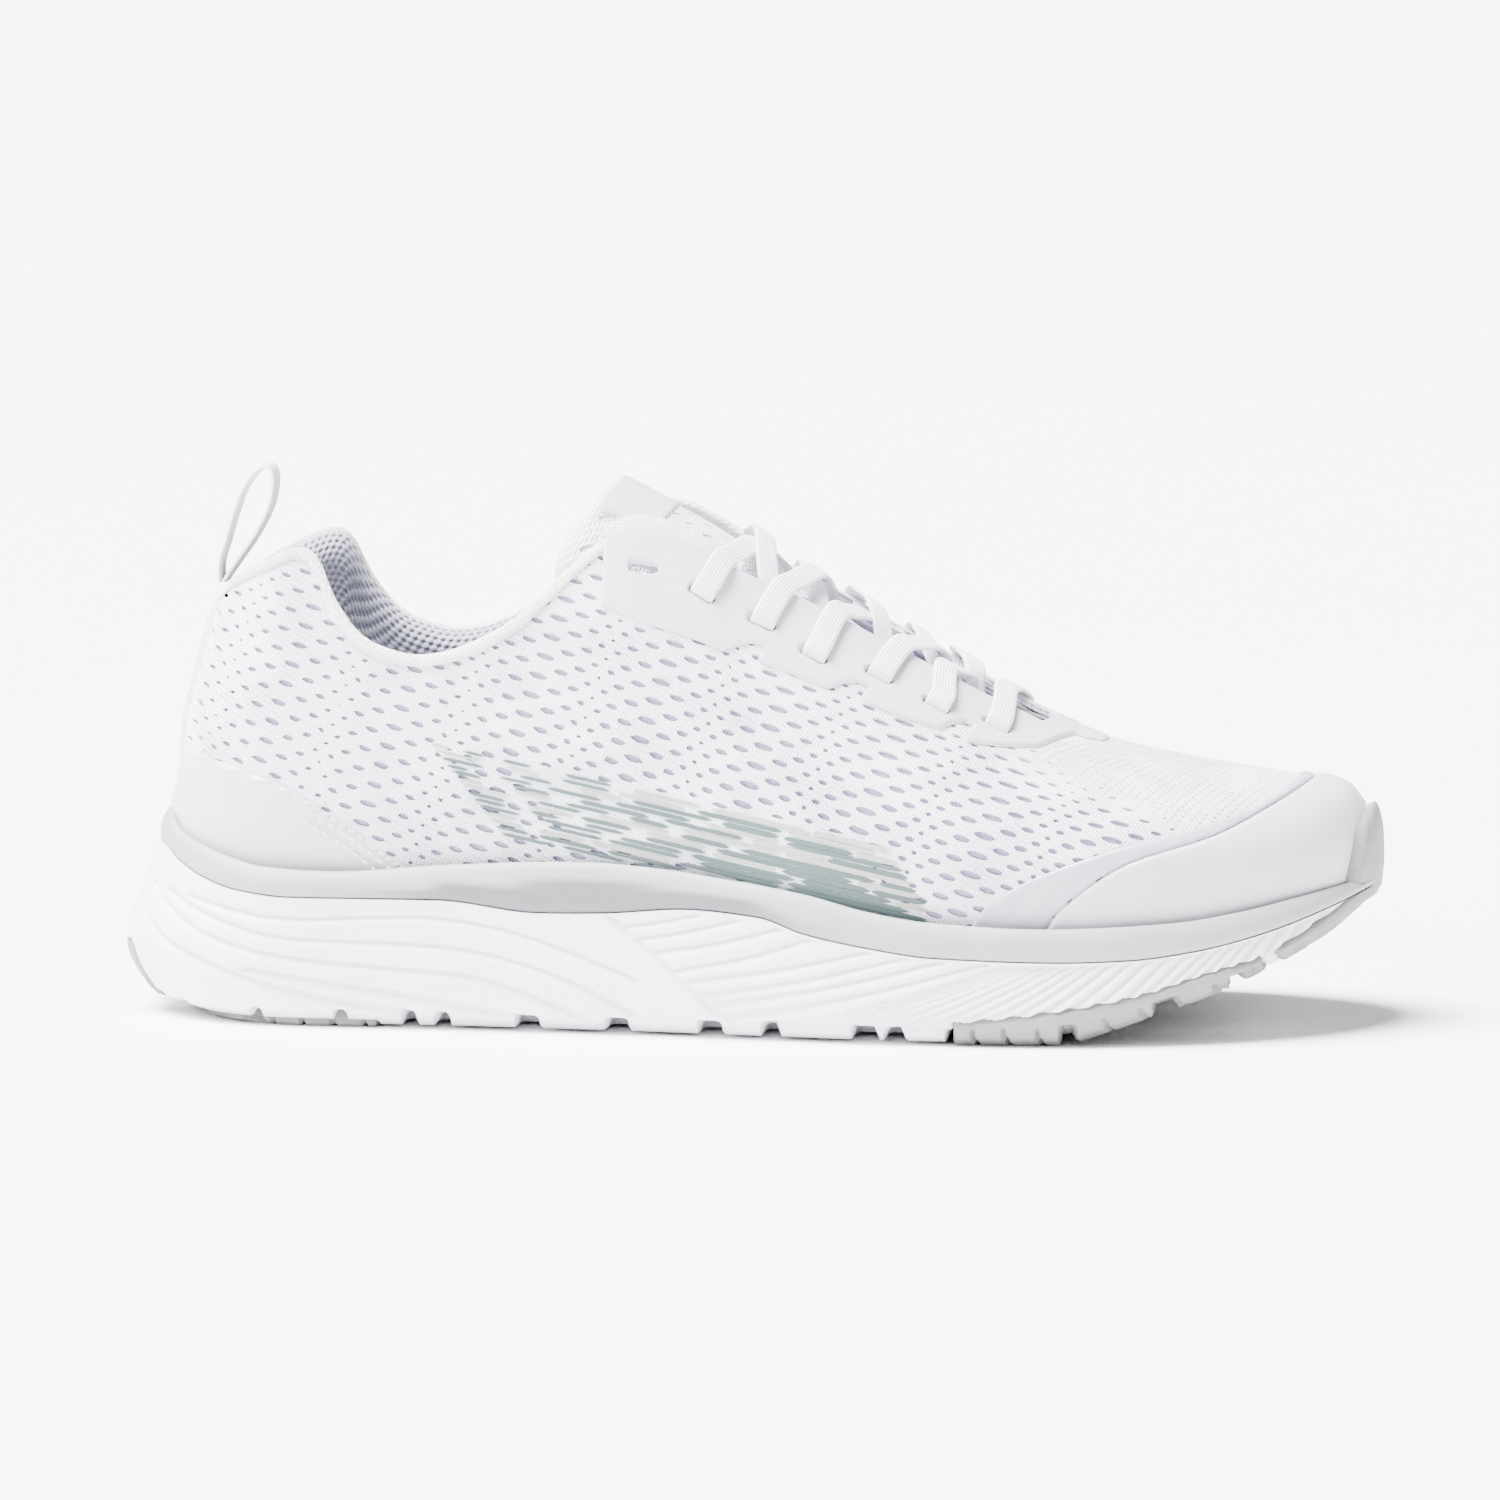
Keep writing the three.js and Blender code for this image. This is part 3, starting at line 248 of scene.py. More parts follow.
def girth(u, v):
    """Height measured along the surface: the footbed's height plus the way up the side."""
    rows, columns = GIRTH.shape
    i = np.clip(u / 3 * (rows - 1), 0, rows - 1.001)
    j = np.clip((1 - np.abs(v)) * (columns - 1), 0, columns - 1.001)
    i0, j0 = i.astype(int), j.astype(int)
    a, b = i - i0, j - j0
    return ((GIRTH[i0, j0] * (1 - a) + GIRTH[i0 + 1, j0] * a) * (1 - b)
            + (GIRTH[i0, j0 + 1] * (1 - a) + GIRTH[i0 + 1, j0 + 1] * a) * b)


def pattern_uv(u, v):
    """Flat pattern coordinates of places on the last: along the shoe and up its side."""
    return np.stack([last(u, v)[..., 0], girth(u, v)], -1)


# ---------- meshes ----------

def grid_triangles(rows, columns, wrap_rows=False, wrap_columns=False):
    """Triangles of a whole grid of points."""
    r = np.arange(rows if wrap_rows else rows - 1)
    c = np.arange(columns if wrap_columns else columns - 1)
    r, c = np.meshgrid(r, c, indexing="ij")
    r, c = r.ravel(), c.ravel()
    below, right = (r + 1) % rows, (c + 1) % columns
    a, b = r * columns + c, r * columns + right
    d, e = below * columns + c, below * columns + right
    return np.concatenate([np.stack([a, b, e], 1), np.stack([a, e, d], 1)])


def end_fan(rows, columns, column):
    """Triangles that close one end of a tube whose rings are the columns of a grid."""
    ring = np.arange(rows) * columns + column
    fan = np.stack([np.full(rows - 2, ring[0]), ring[1:-1], ring[2:]], 1)
    return fan if column else fan[:, ::-1]


def grid_shape(rows, uvs, triangles):
    """Shape of a grid of points."""
    return rows.reshape(-1, 3), triangles, uvs.reshape(-1, 2)


def join(*shapes):
    """Shapes put together as one."""
    points, triangles, uvs = zip(*shapes)
    starts = np.cumsum([0] + [len(group) for group in points[:-1]])
    shifted_triangles = [group + start for group, start in zip(triangles, starts)]
    return np.concatenate(points), np.concatenate(shifted_triangles), np.concatenate(uvs)


def trimmed_grid(us, vs, field):
    """The part of a grid where the field is negative, cut along its zero line.

    Returns the u and the v of each point, and the triangles."""
    rows, columns = field.shape
    corner = np.arange(rows * columns).reshape(rows, columns)
    across = rows * columns + np.arange(rows * (columns - 1)).reshape(rows, columns - 1)
    down = across.size + rows * columns + np.arange((rows - 1) * columns).reshape(rows - 1, columns)
    grid_u, grid_v = np.meshgrid(us, vs)

    def cut(first, second):
        share = first / np.where(first == second, 1, first - second)
        return np.clip(share, 0.06, 0.94)  # no nearer to a corner, so no triangle is a sliver

    along = cut(field[:, :-1], field[:, 1:])
    upward = cut(field[:-1], field[1:])
    all_u = np.concatenate([grid_u.ravel(), (grid_u[:, :-1] + along * np.diff(grid_u)).ravel(),
                            grid_u[:-1].ravel()])
    all_v = np.concatenate([grid_v.ravel(), grid_v[:, :-1].ravel(),
                            (grid_v[:-1] + upward * np.diff(grid_v, axis=0)).ravel()])
    inside = field < 0
    corners = [corner[:-1, :-1], corner[:-1, 1:], corner[1:, 1:], corner[1:, :-1]]
    edges = [across[:-1], down[:, 1:], across[1:], down[:, :-1]]
    flags = [inside[:-1, :-1], inside[:-1, 1:], inside[1:, 1:], inside[1:, :-1]]
    code = sum(flag.astype(int) << k for k, flag in enumerate(flags))
    triangles = []
    for case in range(1, 16):
        picked = code == case
        ring = []
        for k in range(4):
            here, after = case >> k & 1, case >> (k + 1) % 4 & 1
            if here:
                ring.append(corners[k][picked])
            if here != after:
                ring.append(edges[k][picked])
        triangles += [np.stack([ring[0], ring[k], ring[k + 1]], 1) for k in range(1, len(ring) - 1)]
    triangles = np.concatenate(triangles)
    used, triangles = np.unique(triangles, return_inverse=True)
    return all_u[used], all_v[used], triangles.reshape(-1, 3)


def border_sides(triangles, count):
    """Triangles between every border of a face and its twin, count points further on."""
    edges = np.concatenate([triangles[:, [0, 1]], triangles[:, [1, 2]], triangles[:, [2, 0]]])
    size = triangles.max() + 1
    keys = edges[:, 0] * size + edges[:, 1]
    reverse = edges[:, 1] * size + edges[:, 0]
    a, b = edges[~np.isin(keys, reverse)].T
    return np.concatenate([np.stack([b, a, a + count], 1), np.stack([b, a + count, b + count], 1)])


def welded(points, triangles, uv):
    """Points at the same place joined, and triangles that have no area left dropped."""
    places = np.round(points, 3)
    _, first, joined = np.unique(places, axis=0, return_index=True, return_inverse=True)
    triangles = joined.ravel()[triangles]
    a, b, c = triangles.T
    kept = (a != b) & (b != c) & (c != a)
    return points[first], triangles[kept], uv[first]


def closed_sheet(outer, inner, triangles, uv):
    """A sheet with two faces, joined along every border."""
    sides = border_sides(triangles, len(outer))
    faces = np.concatenate([triangles, triangles[:, ::-1] + len(outer), sides])
    return welded(np.concatenate([outer, inner]), faces, np.concatenate([uv, uv]))


def lipped_sheet(outer, inner, triangles, uv):
    """An outer face whose borders and holes turn inwards."""
    faces = np.concatenate([triangles, border_sides(triangles, len(outer))])
    used, faces = np.unique(faces, return_inverse=True)
    points = np.concatenate([outer, inner])[used]
    return welded(points, faces.reshape(-1, 3), np.concatenate([uv, uv])[used])


def add_piece(name, shape, material, body="shoe", replaces=None, sharp=40, tone=None):
    """A mesh piece from (points, triangles, uv) in pattern millimetres. It replaces the CAD
    node that has its name, or the one that is named instead."""
    points, triangles, uv = shape
    mesh = bpy.data.meshes.new(name)
    mesh.vertices.add(len(points))
    mesh.vertices.foreach_set("co", to_scene(points).astype(np.float32).ravel())
    mesh.loops.add(triangles.size)
    mesh.loops.foreach_set("vertex_index", triangles.astype(np.int32).ravel())
    mesh.polygons.add(len(triangles))
    mesh.polygons.foreach_set("loop_start", np.arange(0, triangles.size, 3, dtype=np.int32))
    mesh.update(calc_edges=True)
    pattern = mesh.uv_layers.new(name="Pattern")
    pattern.uv.foreach_set("vector", uv[triangles.ravel()].astype(np.float32).ravel())
    if tone is not None:
        attribute = mesh.attributes.new("tone", "FLOAT", "POINT")
        attribute.data.foreach_set("value", tone(points).astype(np.float32))
    mesh.polygons.foreach_set("use_smooth", np.ones(len(triangles), bool))
    mesh.set_sharp_from_angle(angle=math.radians(sharp))
    mesh.materials.append(material)
    mesh.validate()
    piece = bpy.data.objects.new(name, mesh)
    bpy.context.scene.collection.objects.link(piece)
    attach(piece, body)
    node = replaces or name
    if node in CAD_NODES:
        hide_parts(node)
    return piece


# ---------- materials ----------

WAVE_PERIOD = math.pi / 10  # period of a wave texture whose scale is 1
MIX_COLOURS = (6, 7)  # places of a Mix node's two colour inputs
MIX_RESULT = 2  # place of its colour output
STITCH_TURN = 28  # degrees by which the knit's rows are turned
WAFFLE_PITCH = 1.9  # from a dimple to the next
WAFFLE_WAVE = WAFFLE_PITCH * 0.87  # pitch of each of the three waves that make the dimples
WAFFLE_TURNS = (-30, 30, 90)  # directions of those waves


class Look:
    """A node material around one principled shader."""

    def __init__(self, name, roughness, **constants):
        self.material = bpy.data.materials.new(name)
        self.material.use_nodes = True
        self.tree = self.material.node_tree
        self.shader = self.tree.nodes["Principled BSDF"]
        self.shader.inputs["Roughness"].default_value = roughness
        for key, value in constants.items():
            self.shader.inputs[key.replace("_", " ")].default_value = value

    def node(self, kind, inputs=None, **settings):
        made = self.tree.nodes.new("ShaderNode" + kind)
        for key, value in settings.items():
            setattr(made, key, value)
        for key, value in (inputs or {}).items():
            if isinstance(value, bpy.types.NodeSocket):
                self.tree.links.new(value, made.inputs[key])
            else:
                made.inputs[key].default_value = value
        return made

    def place(self):
        """Position in millimetres, the same on every piece."""
        coordinates = self.node("TexCoord").outputs["Object"]
        return self.node("VectorMath", {0: coordinates, "Scale": 1 / MM},
                         operation="SCALE").outputs[0]

    def pattern(self):
        """The piece's own flat pattern coordinates in millimetres."""
        return self.node("UVMap", uv_map="Pattern").outputs[0]

    def turned(self, where, degrees):
        """Coordinates turned in the pattern's plane."""
        return self.node("Mapping", {"Vector": where, "Rotation": (0, 0, math.radians(degrees))}
                         ).outputs[0]

    def noise(self, where, size, detail=3.0):
        made = self.node("TexNoise", {"Vector": where, "Scale": 1 / size, "Detail": detail})
        return made.outputs["Fac"]

    def wave(self, where, pitch, direction, distortion=0.0):
        made = self.node("TexWave", {"Vector": where, "Scale": WAVE_PERIOD / pitch,
                                     "Distortion": distortion}, bands_direction=direction)
        return made.outputs["Fac"]

    def math(self, operation, first, second):
        return self.node("Math", {0: first, 1: second}, operation=operation).outputs[0]

    def blend(self, factor, low, high, start=0.0, end=1.0):
        made = self.node("ValToRGB", {"Fac": factor})
        ends = made.color_ramp.elements
        ends[0].position, ends[1].position = start, end
        ends[0].color, ends[1].color = (*low, 1), (*high, 1)
        return made.outputs["Color"]

    def colour(self, socket):
        self.tree.links.new(socket, self.shader.inputs["Base Color"])

    def bump(self, height, depth, strength=1.0):
        """Relief of a depth in millimetres, added to what is there."""
        inputs = {"Height": height, "Distance": depth * MM, "Strength": strength}
        link = self.shader.inputs["Normal"].links
        if link:
            inputs["Normal"] = link[0].from_socket
        made = self.node("Bump", inputs)
        self.tree.links.new(made.outputs["Normal"], self.shader.inputs["Normal"])

    def roughness(self, factor, low, high):
        made = self.node("MapRange", {"Value": factor, "To Min": low, "To Max": high})
        self.tree.links.new(made.outputs["Result"], self.shader.inputs["Roughness"])


def knit(name, light, dark, pitch, depth=0.12, sheen=0.25, roughness=0.85, dots=None):
    """Cloth of small diagonal stitches, with rows of closed dots where its tone is one."""
    look = Look(name, roughness, Sheen_Weight=sheen, Sheen_Roughness=0.5)
    turned = look.turned(look.pattern(), STITCH_TURN)
    rows = look.wave(turned, pitch, "X", 1.2)
    ribs = look.wave(turned, pitch * 1.7, "Y", 0.8)
    stitch = look.math("MULTIPLY", rows, ribs)
    fuzz = look.noise(look.place(), 0.35)
    height = look.math("ADD", stitch, fuzz)
    # Painted shade: the stitches' low parts are coloured darker, over slow random changes of tone.
    shade_and_tone = look.math("ADD", look.math("MULTIPLY", height, 0.6), look.noise(look.place(), 14))
    if dots:
        across = look.wave(turned, dots, "X")
        upward = look.wave(turned, dots * 0.7, "Y")
        spots = look.math("POWER", look.math("MULTIPLY", across, upward), 2.5)
        closed = look.node("Attribute", attribute_name="tone").outputs["Fac"]
        spots = look.math("MULTIPLY", spots, closed)
        shade_and_tone = look.math("SUBTRACT", shade_and_tone, look.math("MULTIPLY", spots, 0.4))
        look.bump(spots, -0.3)
    look.colour(look.blend(shade_and_tone, dark, light, 0.5, 1.0))
    look.bump(height, depth)
    return look.material


def waffle(name, light, dark):
    """Padded lining cloth with rows of small dimples, with painted shade that makes the dimples
    darker.
    """
    look = Look(name, 0.9, Sheen_Weight=0.25, Sheen_Roughness=0.5)
    where = look.pattern()
    dimples = None
    for turn in WAFFLE_TURNS:
        wave = look.wave(look.turned(where, turn), WAFFLE_WAVE, "X")
        dimples = wave if dimples is None else look.math("ADD", dimples, wave)
    fuzz = look.noise(look.place(), 0.4)
    shade_and_tone = look.math("ADD", look.math("MULTIPLY", dimples, 0.3), look.math("MULTIPLY", fuzz, 0.2))
    # Painted shade in the dimples, with fine random tone from the fuzz.
    look.colour(look.blend(shade_and_tone, dark, light, 0.2, 0.62))
    look.bump(dimples, 0.35)
    look.bump(fuzz, 0.06)
    return look.material


def moulded(name, light, dark, roughness, grain, depth, patch=18, **constants):
    """Foam, film, rubber or plastic: fine grain over slow changes of tone."""
    look = Look(name, roughness, **constants)
    where = look.place()
    slow = look.noise(where, patch)
    fine = look.noise(where, grain, 4.0)
    tone = look.math("ADD", look.math("MULTIPLY", fine, 0.35), look.math("MULTIPLY", slow, 0.65))
    look.colour(look.blend(tone, dark, light, 0.35, 0.68))
    look.bump(fine, depth)
    look.roughness(slow, roughness - 0.07, roughness + 0.07)
    return look


def grey_with_painted_shade(name, upper_light, upper_dark, shaded_grey, roughness):
    """The rim's grey, with painted shade: a darker grey where the piece's tone attribute is one."""
    look = moulded(name, upper_light, upper_dark, roughness, 0.5, 0.04)
    tone = look.node("Attribute", attribute_name="tone").outputs["Fac"]
    base = look.shader.inputs["Base Color"].links[0].from_socket
    mixed = look.node("Mix", {"Factor": tone}, data_type="RGBA")
    look.tree.links.new(base, mixed.inputs[MIX_COLOURS[0]])
    mixed.inputs[MIX_COLOURS[1]].default_value = (*shaded_grey, 1)
    look.colour(mixed.outputs[MIX_RESULT])
    return look.material


def webbing(name, light, dark, rib, roughness=0.8):
    """Narrow woven band: ribs along it and fine picks across."""
    look = Look(name, roughness, Sheen_Weight=0.2, Sheen_Roughness=0.5)
    where = look.pattern()
    ribs = look.wave(where, rib, "Y")
    picks = look.wave(where, rib * 0.75, "X", 0.6)
    height = look.math("ADD", ribs, look.math("MULTIPLY", picks, 0.6))
    # Painted shade: the weave's low parts are coloured darker.
    look.colour(look.blend(height, dark, light, 0.15, 0.9))
    look.bump(height, 0.12)
    look.bump(look.noise(look.place(), 0.3), 0.05)
    return look.material


mesh_white = knit("mesh white", (0.82, 0.82, 0.88), (0.36, 0.36, 0.46), 0.8, depth=0.22, dots=2.2)
lining_grey = knit("lining grey", (0.36, 0.35, 0.5), (0.2, 0.19, 0.31), 0.6)
collar_grey = waffle("collar lining grey", (0.36, 0.36, 0.45), (0.2, 0.2, 0.28))
binding_white = knit("binding white", (0.85, 0.85, 0.87), (0.56, 0.56, 0.6), 0.55, 0.3, 0.4)
film_white = moulded("film white", (0.56, 0.565, 0.605), (0.51, 0.515, 0.555), 0.42, 0.9, 0.02,
                     Coat_Weight=0.08, Coat_Roughness=0.35).material
film_clear = moulded("film clear", (0.47, 0.47, 0.54), (0.38, 0.38, 0.45), 0.36, 0.8, 0.05,
                     patch=4, Coat_Weight=0.15, Coat_Roughness=0.3).material
eva_white = moulded("foam white", (0.78, 0.78, 0.83), (0.72, 0.72, 0.77), 0.56, 0.45, 0.05,
                    Subsurface_Weight=0.06, Subsurface_Scale=0.002).material
# Its third grey is painted shade on the rim's lower band.
rim_grey = grey_with_painted_shade("rim grey", (0.33, 0.335, 0.345), (0.28, 0.285, 0.295),
                    (0.13, 0.134, 0.142), 0.5)
rubber_grey = moulded("rubber grey", (0.23, 0.23, 0.227), (0.165, 0.165, 0.162), 0.66, 0.5, 0.09,
                      patch=7).material
lace_white = webbing("lace white", (0.88, 0.88, 0.91), (0.56, 0.56, 0.64), 0.75)
loop_white = webbing("loop white", (0.86, 0.86, 0.89), (0.58, 0.58, 0.66), 0.6)
aglet_clear = moulded("aglet plastic", (0.8, 0.8, 0.82), (0.72, 0.72, 0.74), 0.2, 2, 0.01).material
board_cloth = knit("board cloth", (0.6, 0.58, 0.54), (0.45, 0.43, 0.4), 0.9)
insole_cloth = knit("insole cloth", (0.3, 0.29, 0.34), (0.18, 0.17, 0.21), 0.8)
foam_plain = moulded("open foam", (0.75, 0.74, 0.7), (0.62, 0.61, 0.57), 0.85, 0.6, 0.2).material
stiffener = moulded("stiffener sheet", (0.6, 0.59, 0.55), (0.5, 0.49, 0.46), 0.7, 1.2, 0.08).material
dash_green = moulded("dash grey green", (0.075, 0.11, 0.112), (0.045, 0.075, 0.078), 0.6, 0.5,
                     0.03).material
dash_grey = moulded("dash light grey", (0.36, 0.36, 0.34), (0.28, 0.28, 0.265), 0.6, 0.5,
                    0.03).material


# ---------- openings and edges of the upper, seen from the side ----------

SKY = 180
topline = smooth([[18, 98.2], [24, 99.9], [29, 104.4], [37, 108.8], [45, 112], [50, 109.8],
                  [54.5, 100.4], [61, 92.2], [69, 88.7], [76, 87.9], [85, 90], [96.5, 96],
                  [105, 103.8], [113, 111.4], [119, 115.8]], 40)
eyestay_top = smooth([[119, 115.8], [124.6, 118.1], [131.6, 117.4], [139.5, 113.6], [147, 109],
                      [154, 105.6], [168, 99], [184, 90.3], [197, 83.2], [208, 77], [216, 72.9],
                      [219.5, 71.2]], 26)
THROAT_END = eyestay_top[-1]
BINDING_WIDTH = 2.9


def opening_outline(drop):
    """Everything above the topline and the throat, a distance below their edge."""
    collar = shifted(topline, drop)
    return np.vstack([[-20, collar[0, 1]], collar, eyestay_top[1:], [THROAT_END[0] + 1, SKY],
                      [-20, SKY]])


def outside_of(points, outline):
    """Field that is negative outside a side-view outline."""
    return -distance_to(points[..., 0], points[..., 2], outline)


def across_at(x, z):
    """Distance of the surface from the centre line at a place seen from the side."""
    rise = (z - widest(x)) / (ridge(x) - widest(x))
    return half_width(x) * np.sqrt(np.maximum(1 - rise * rise, 0))


def on_last(x, z, side, lift):
    """Point and outward normal on the last at (x, z) on a side, lifted by a distance."""
    def at(px, pz):
        return np.array([px, centre_line(x) + side * across_at(px, pz), pz])
    point = at(x, z)
    normal = unit(np.cross(at(x + 0.5, z) - point, at(x, z + 0.5) - point))
    if normal[1] * side < 0:
        normal = -normal
    return point + normal * lift, normal


edge_height = profile(*[tuple(point) for point in eyestay_top])


def edge_across(x):
    return across_at(x, edge_height(x))


SLOTS = [(127.7, 108.6), (141.6, 102.7), (155.7, 96), (168, 88.6), (183, 83.6), (196.5, 76.8),
         (210, 71.6)]
LAST_ROW = len(SLOTS) - 1
LACE_WIDTH, LACE_THICKNESS = 6.0, 1.1
SLOT_LENGTH, SLOT_HEIGHT = LACE_WIDTH + 1.0, 2.4
SLOT_REACH = 8  # how far from the surface a slot still cuts
THROAT_START, THROAT_FLOOR = 126, 55  # the throat lies ahead of one and above the other
OUT_OF_REACH = 20.0  # field of places too low to be in the throat


def slot_frame(row, side):
    """Middle, normal, long direction and the direction away from the throat."""
    x, z = SLOTS[row]
    middle, normal = on_last(x, z, side, 0)
    ahead = on_last(x + 1, z + edge_height(x + 1) - edge_height(x), side, 0)[0]
    away = unit(np.cross(ahead - middle, normal))
    if away[2] > 0:
        away = -away
    return middle, normal, unit(np.cross(normal, away)), away


def slot_field(points):
    """Negative inside a slot: rounded oblongs on both sides."""
    field = np.full(points.shape[:-1], FAR)
    for row in range(LAST_ROW + 1):
        for _, side in SIDES:
            middle, normal, along, away = slot_frame(row, side)
            offset = points - middle
            dx = np.abs(offset @ along) - (SLOT_LENGTH - SLOT_HEIGHT) / 2
            distance = np.hypot(np.maximum(dx, 0), offset @ away) - SLOT_HEIGHT / 2
            near = np.abs(offset @ normal) < SLOT_REACH
            field = np.minimum(field, np.where(near, distance, FAR))
    return field


def throat_field(points):
    """Negative inside the throat, which is cut straight down from above."""
    runs = eyestay_top[eyestay_top[:, 0] > THROAT_START]
    edge = [np.stack([runs[:, 0], centre_line(runs[:, 0]) + side * edge_across(runs[:, 0])], 1)
            for _, side in SIDES]
    tip = [THROAT_END[0] + 2.5, centre_line(THROAT_END[0])]
    outline = np.vstack([edge[0], tip, edge[1][::-1]])
    field = distance_to(points[..., 0], points[..., 1], outline)
    return np.where(points[..., 2] > THROAT_FLOOR, field, OUT_OF_REACH)


def mouth_field(points, drop):
    """Negative where the upper is: below the topline and outside the throat."""
    opening = outside_of(points, opening_outline(drop))
    return np.maximum(opening, -throat_field(points))


def with_slots(points, field):
    """A field cut by the lace slots."""
    return np.maximum(field, -slot_field(points))


def above_footbed(points):
    """Negative from just above the footbed's edge upwards."""
    return footbed(points[..., 0]) + 2 - points[..., 2]


def sheet_on_last(step, region, outer, inner, rounding, rows=None):
    """A closed sheet on the last inside a region, its outer border rounded down."""
    us = last_stations(step)
    vs = np.linspace(-1, 1, rows or int(190 / step))
    u, v, triangles = trimmed_grid(us, vs, region(last(us[None, :], vs[:, None])))
    outer = outer(u, v) if callable(outer) else outer
    share = np.clip(-region(last(u, v)) / rounding, 0, 1)
    height = inner + (outer - inner) * np.sqrt(np.maximum(1 - (1 - share) ** 2, 0.0))
    return closed_sheet(last(u, v, height), last(u, v, inner), triangles, pattern_uv(u, v))


def side_region(outline):
    """Region field of a side-view outline, the same on both sides of the shoe."""
    return lambda points: distance_to(points[..., 0], points[..., 2], outline)


# ---------- the outer mesh, with its open holes ----------

DASH_SLOPE = -0.2
DASH_START, DASH_END, DASH_TOP, DASH_ROWS, DASH_PITCH = 78, 180, 67, 14, 1.32
DASH_LOW = DASH_TOP - DASH_ROWS * DASH_PITCH
DASH_FALL = DASH_SLOPE * (DASH_END - DASH_START)
dash_area = side_region([[DASH_START + 14, DASH_TOP - 1], [DASH_END, DASH_TOP + DASH_FALL + 3],
                         [DASH_END + 14, DASH_LOW + DASH_FALL], [DASH_START + 34, DASH_LOW - 4]])

MESH_STEP, MESH_ROWS = 0.62, 205
LIP_DEPTH = 0.95  # how far the edges of the holes turn in
SIZES = (0.3, 0.5, 0.72, 0.9, 1.12, 0.9, 0.72, 0.5)  # hole size along one period of a row
ROW_STEPS = ((2.8, 1.45), (3.5, 1.13), (4.6, 0.92), (5.4, 0.6), (5.5, 0.85), (4.5, 0.85),
             (3.5, 1.2), (2.7, 1.35))  # from each hole of a row to the next
ROW_SHIFT = (1.57, 4.54)  # from a hole to the same one in the row above
HOLE_LONG, HOLE_SHORT = 2.35, 0.78  # half axes of a hole of size 1
HOLE_TILT = math.radians(-18)


def hole_field(s, t, scale):
    """Negative inside the knitted holes, at pattern places (s, t)."""
    period = np.sum(ROW_STEPS, axis=0)
    inverse = np.linalg.inv(np.array([period, ROW_SHIFT]).T)
    field = np.full(s.shape, FAR)
    start = np.zeros(2)
    for size, step in zip(SIZES, ROW_STEPS):
        ds, dt = s - start[0], t - start[1]
        p = inverse[0, 0] * ds + inverse[0, 1] * dt
        q = inverse[1, 0] * ds + inverse[1, 1] * dt
        p, q = p - np.round(p), q - np.round(q)
        ds = p * period[0] + q * ROW_SHIFT[0]
        dt = p * period[1] + q * ROW_SHIFT[1]
        long = ds * math.cos(HOLE_TILT) + dt * math.sin(HOLE_TILT)
        short = -ds * math.sin(HOLE_TILT) + dt * math.cos(HOLE_TILT)
        half = HOLE_SHORT * (0.55 + 0.45 * size)
        radius = np.hypot(long / (HOLE_LONG * size), short / half)
        field = np.minimum(field, (radius - scale) * half)
        start = start + step
    return field


def toe_zone(points):
    """One on the toe's top, where the holes are closed, and zero elsewhere."""
    x, _, z = columns_of(points)
    toe_line = 63 - (x - 226) * 0.43
    return ramp(z - toe_line, -7, 5) * ramp(x, 205, 225)


def hole_scale(points):
    """Share of their full size that the holes have: they close towards the toe's top."""
    heel = 0.86 + 0.14 * ramp(points[..., 0], 60, 120)
    return (1 - toe_zone(points)) * heel


def upper_mesh(side):
    us = last_stations(MESH_STEP)
    vs = np.linspace(*((-1, 0) if side < 0 else (0, 1)), MESH_ROWS)
    u, v = np.meshgrid(us, vs)
    points = last(u, v)
    region = np.maximum(mouth_field(points, 0.9), above_footbed(points))
    region = with_slots(points, region)
    covers = (eyestay_area, toe_cap_area, heel_panel_area, dash_area)
    hidden = np.minimum.reduce([cover(points) for cover in covers])
    holes = hole_field(points[..., 0], girth(u, v), hole_scale(points))
    holes = np.where(hidden < -1.5, 1.0, holes)
    u, v, triangles = trimmed_grid(us, vs, np.maximum(region, -holes))
    return lipped_sheet(last(u, v), last(u, v, -LIP_DEPTH), triangles, pattern_uv(u, v))


# ---------- overlays ----------

cap_edge = smooth([[222, 18], [224.4, 27.5], [230, 34], [242.6, 42.3], [261.9, 47.9],
                   [276.5, 54.6], [287, 60]], 24)
film_edge = smooth([[204, 18], [207.7, 29.4], [218.5, 37.8], [238.3, 45.2], [257.6, 49.7],
                    [272.3, 54.4], [284, 61]], 24)
toe_cap_area = side_region(np.vstack([cap_edge, [[300, 75], [330, 75], [330, 10]]]))
toe_film_area = side_region(np.vstack([film_edge, shifted(cap_edge, -0.3)[::-1]]))

EYESTAY_LOW = [[118, 99.9], [129.6, 95.6], [139.9, 92.6], [147, 90], [150.5, 91.1], [153.5, 91.6],
               [156.3, 91.0], [157, 89.7], [155.3, 88.4], [155.6, 87.2], [163.1, 84.7],
               [172.1, 81.3], [175.6, 82.6], [178.6, 82.6], [181, 81.4], [179.7, 80], [180, 78.4],
               [188.8, 75], [198, 72], [200.6, 73], [203.3, 73.2], [205.2, 72.0], [204, 70.6],
               [204.2, 69.2], [211.4, 67.8], [219.9, 67], [224, 68.1], [227, 68.2], [230, 67.2],
               [233, 66.4], [234.2, 66.25]]
eyestay_outline = side_region(np.vstack([EYESTAY_LOW, [[234.2, SKY], [118, SKY]]]))


def eyestay_area(points):
    return with_slots(points, np.maximum(eyestay_outline(points), mouth_field(points, 0.2)))


HEEL_EDGE = [[-10, 63], [14, 62.8], [21, 62.6], [30.5, 60.6], [42.4, 56.8], [52.4, 51],
             [60, 46.3], [71, 38], [78, 28], [78, 0], [-10, 0]]
heel_panel_area = side_region(HEEL_EDGE)
TAPE_HALF, TAPE_BOTTOM, TAPE_TOP = 4.5, 48.6, 98.6


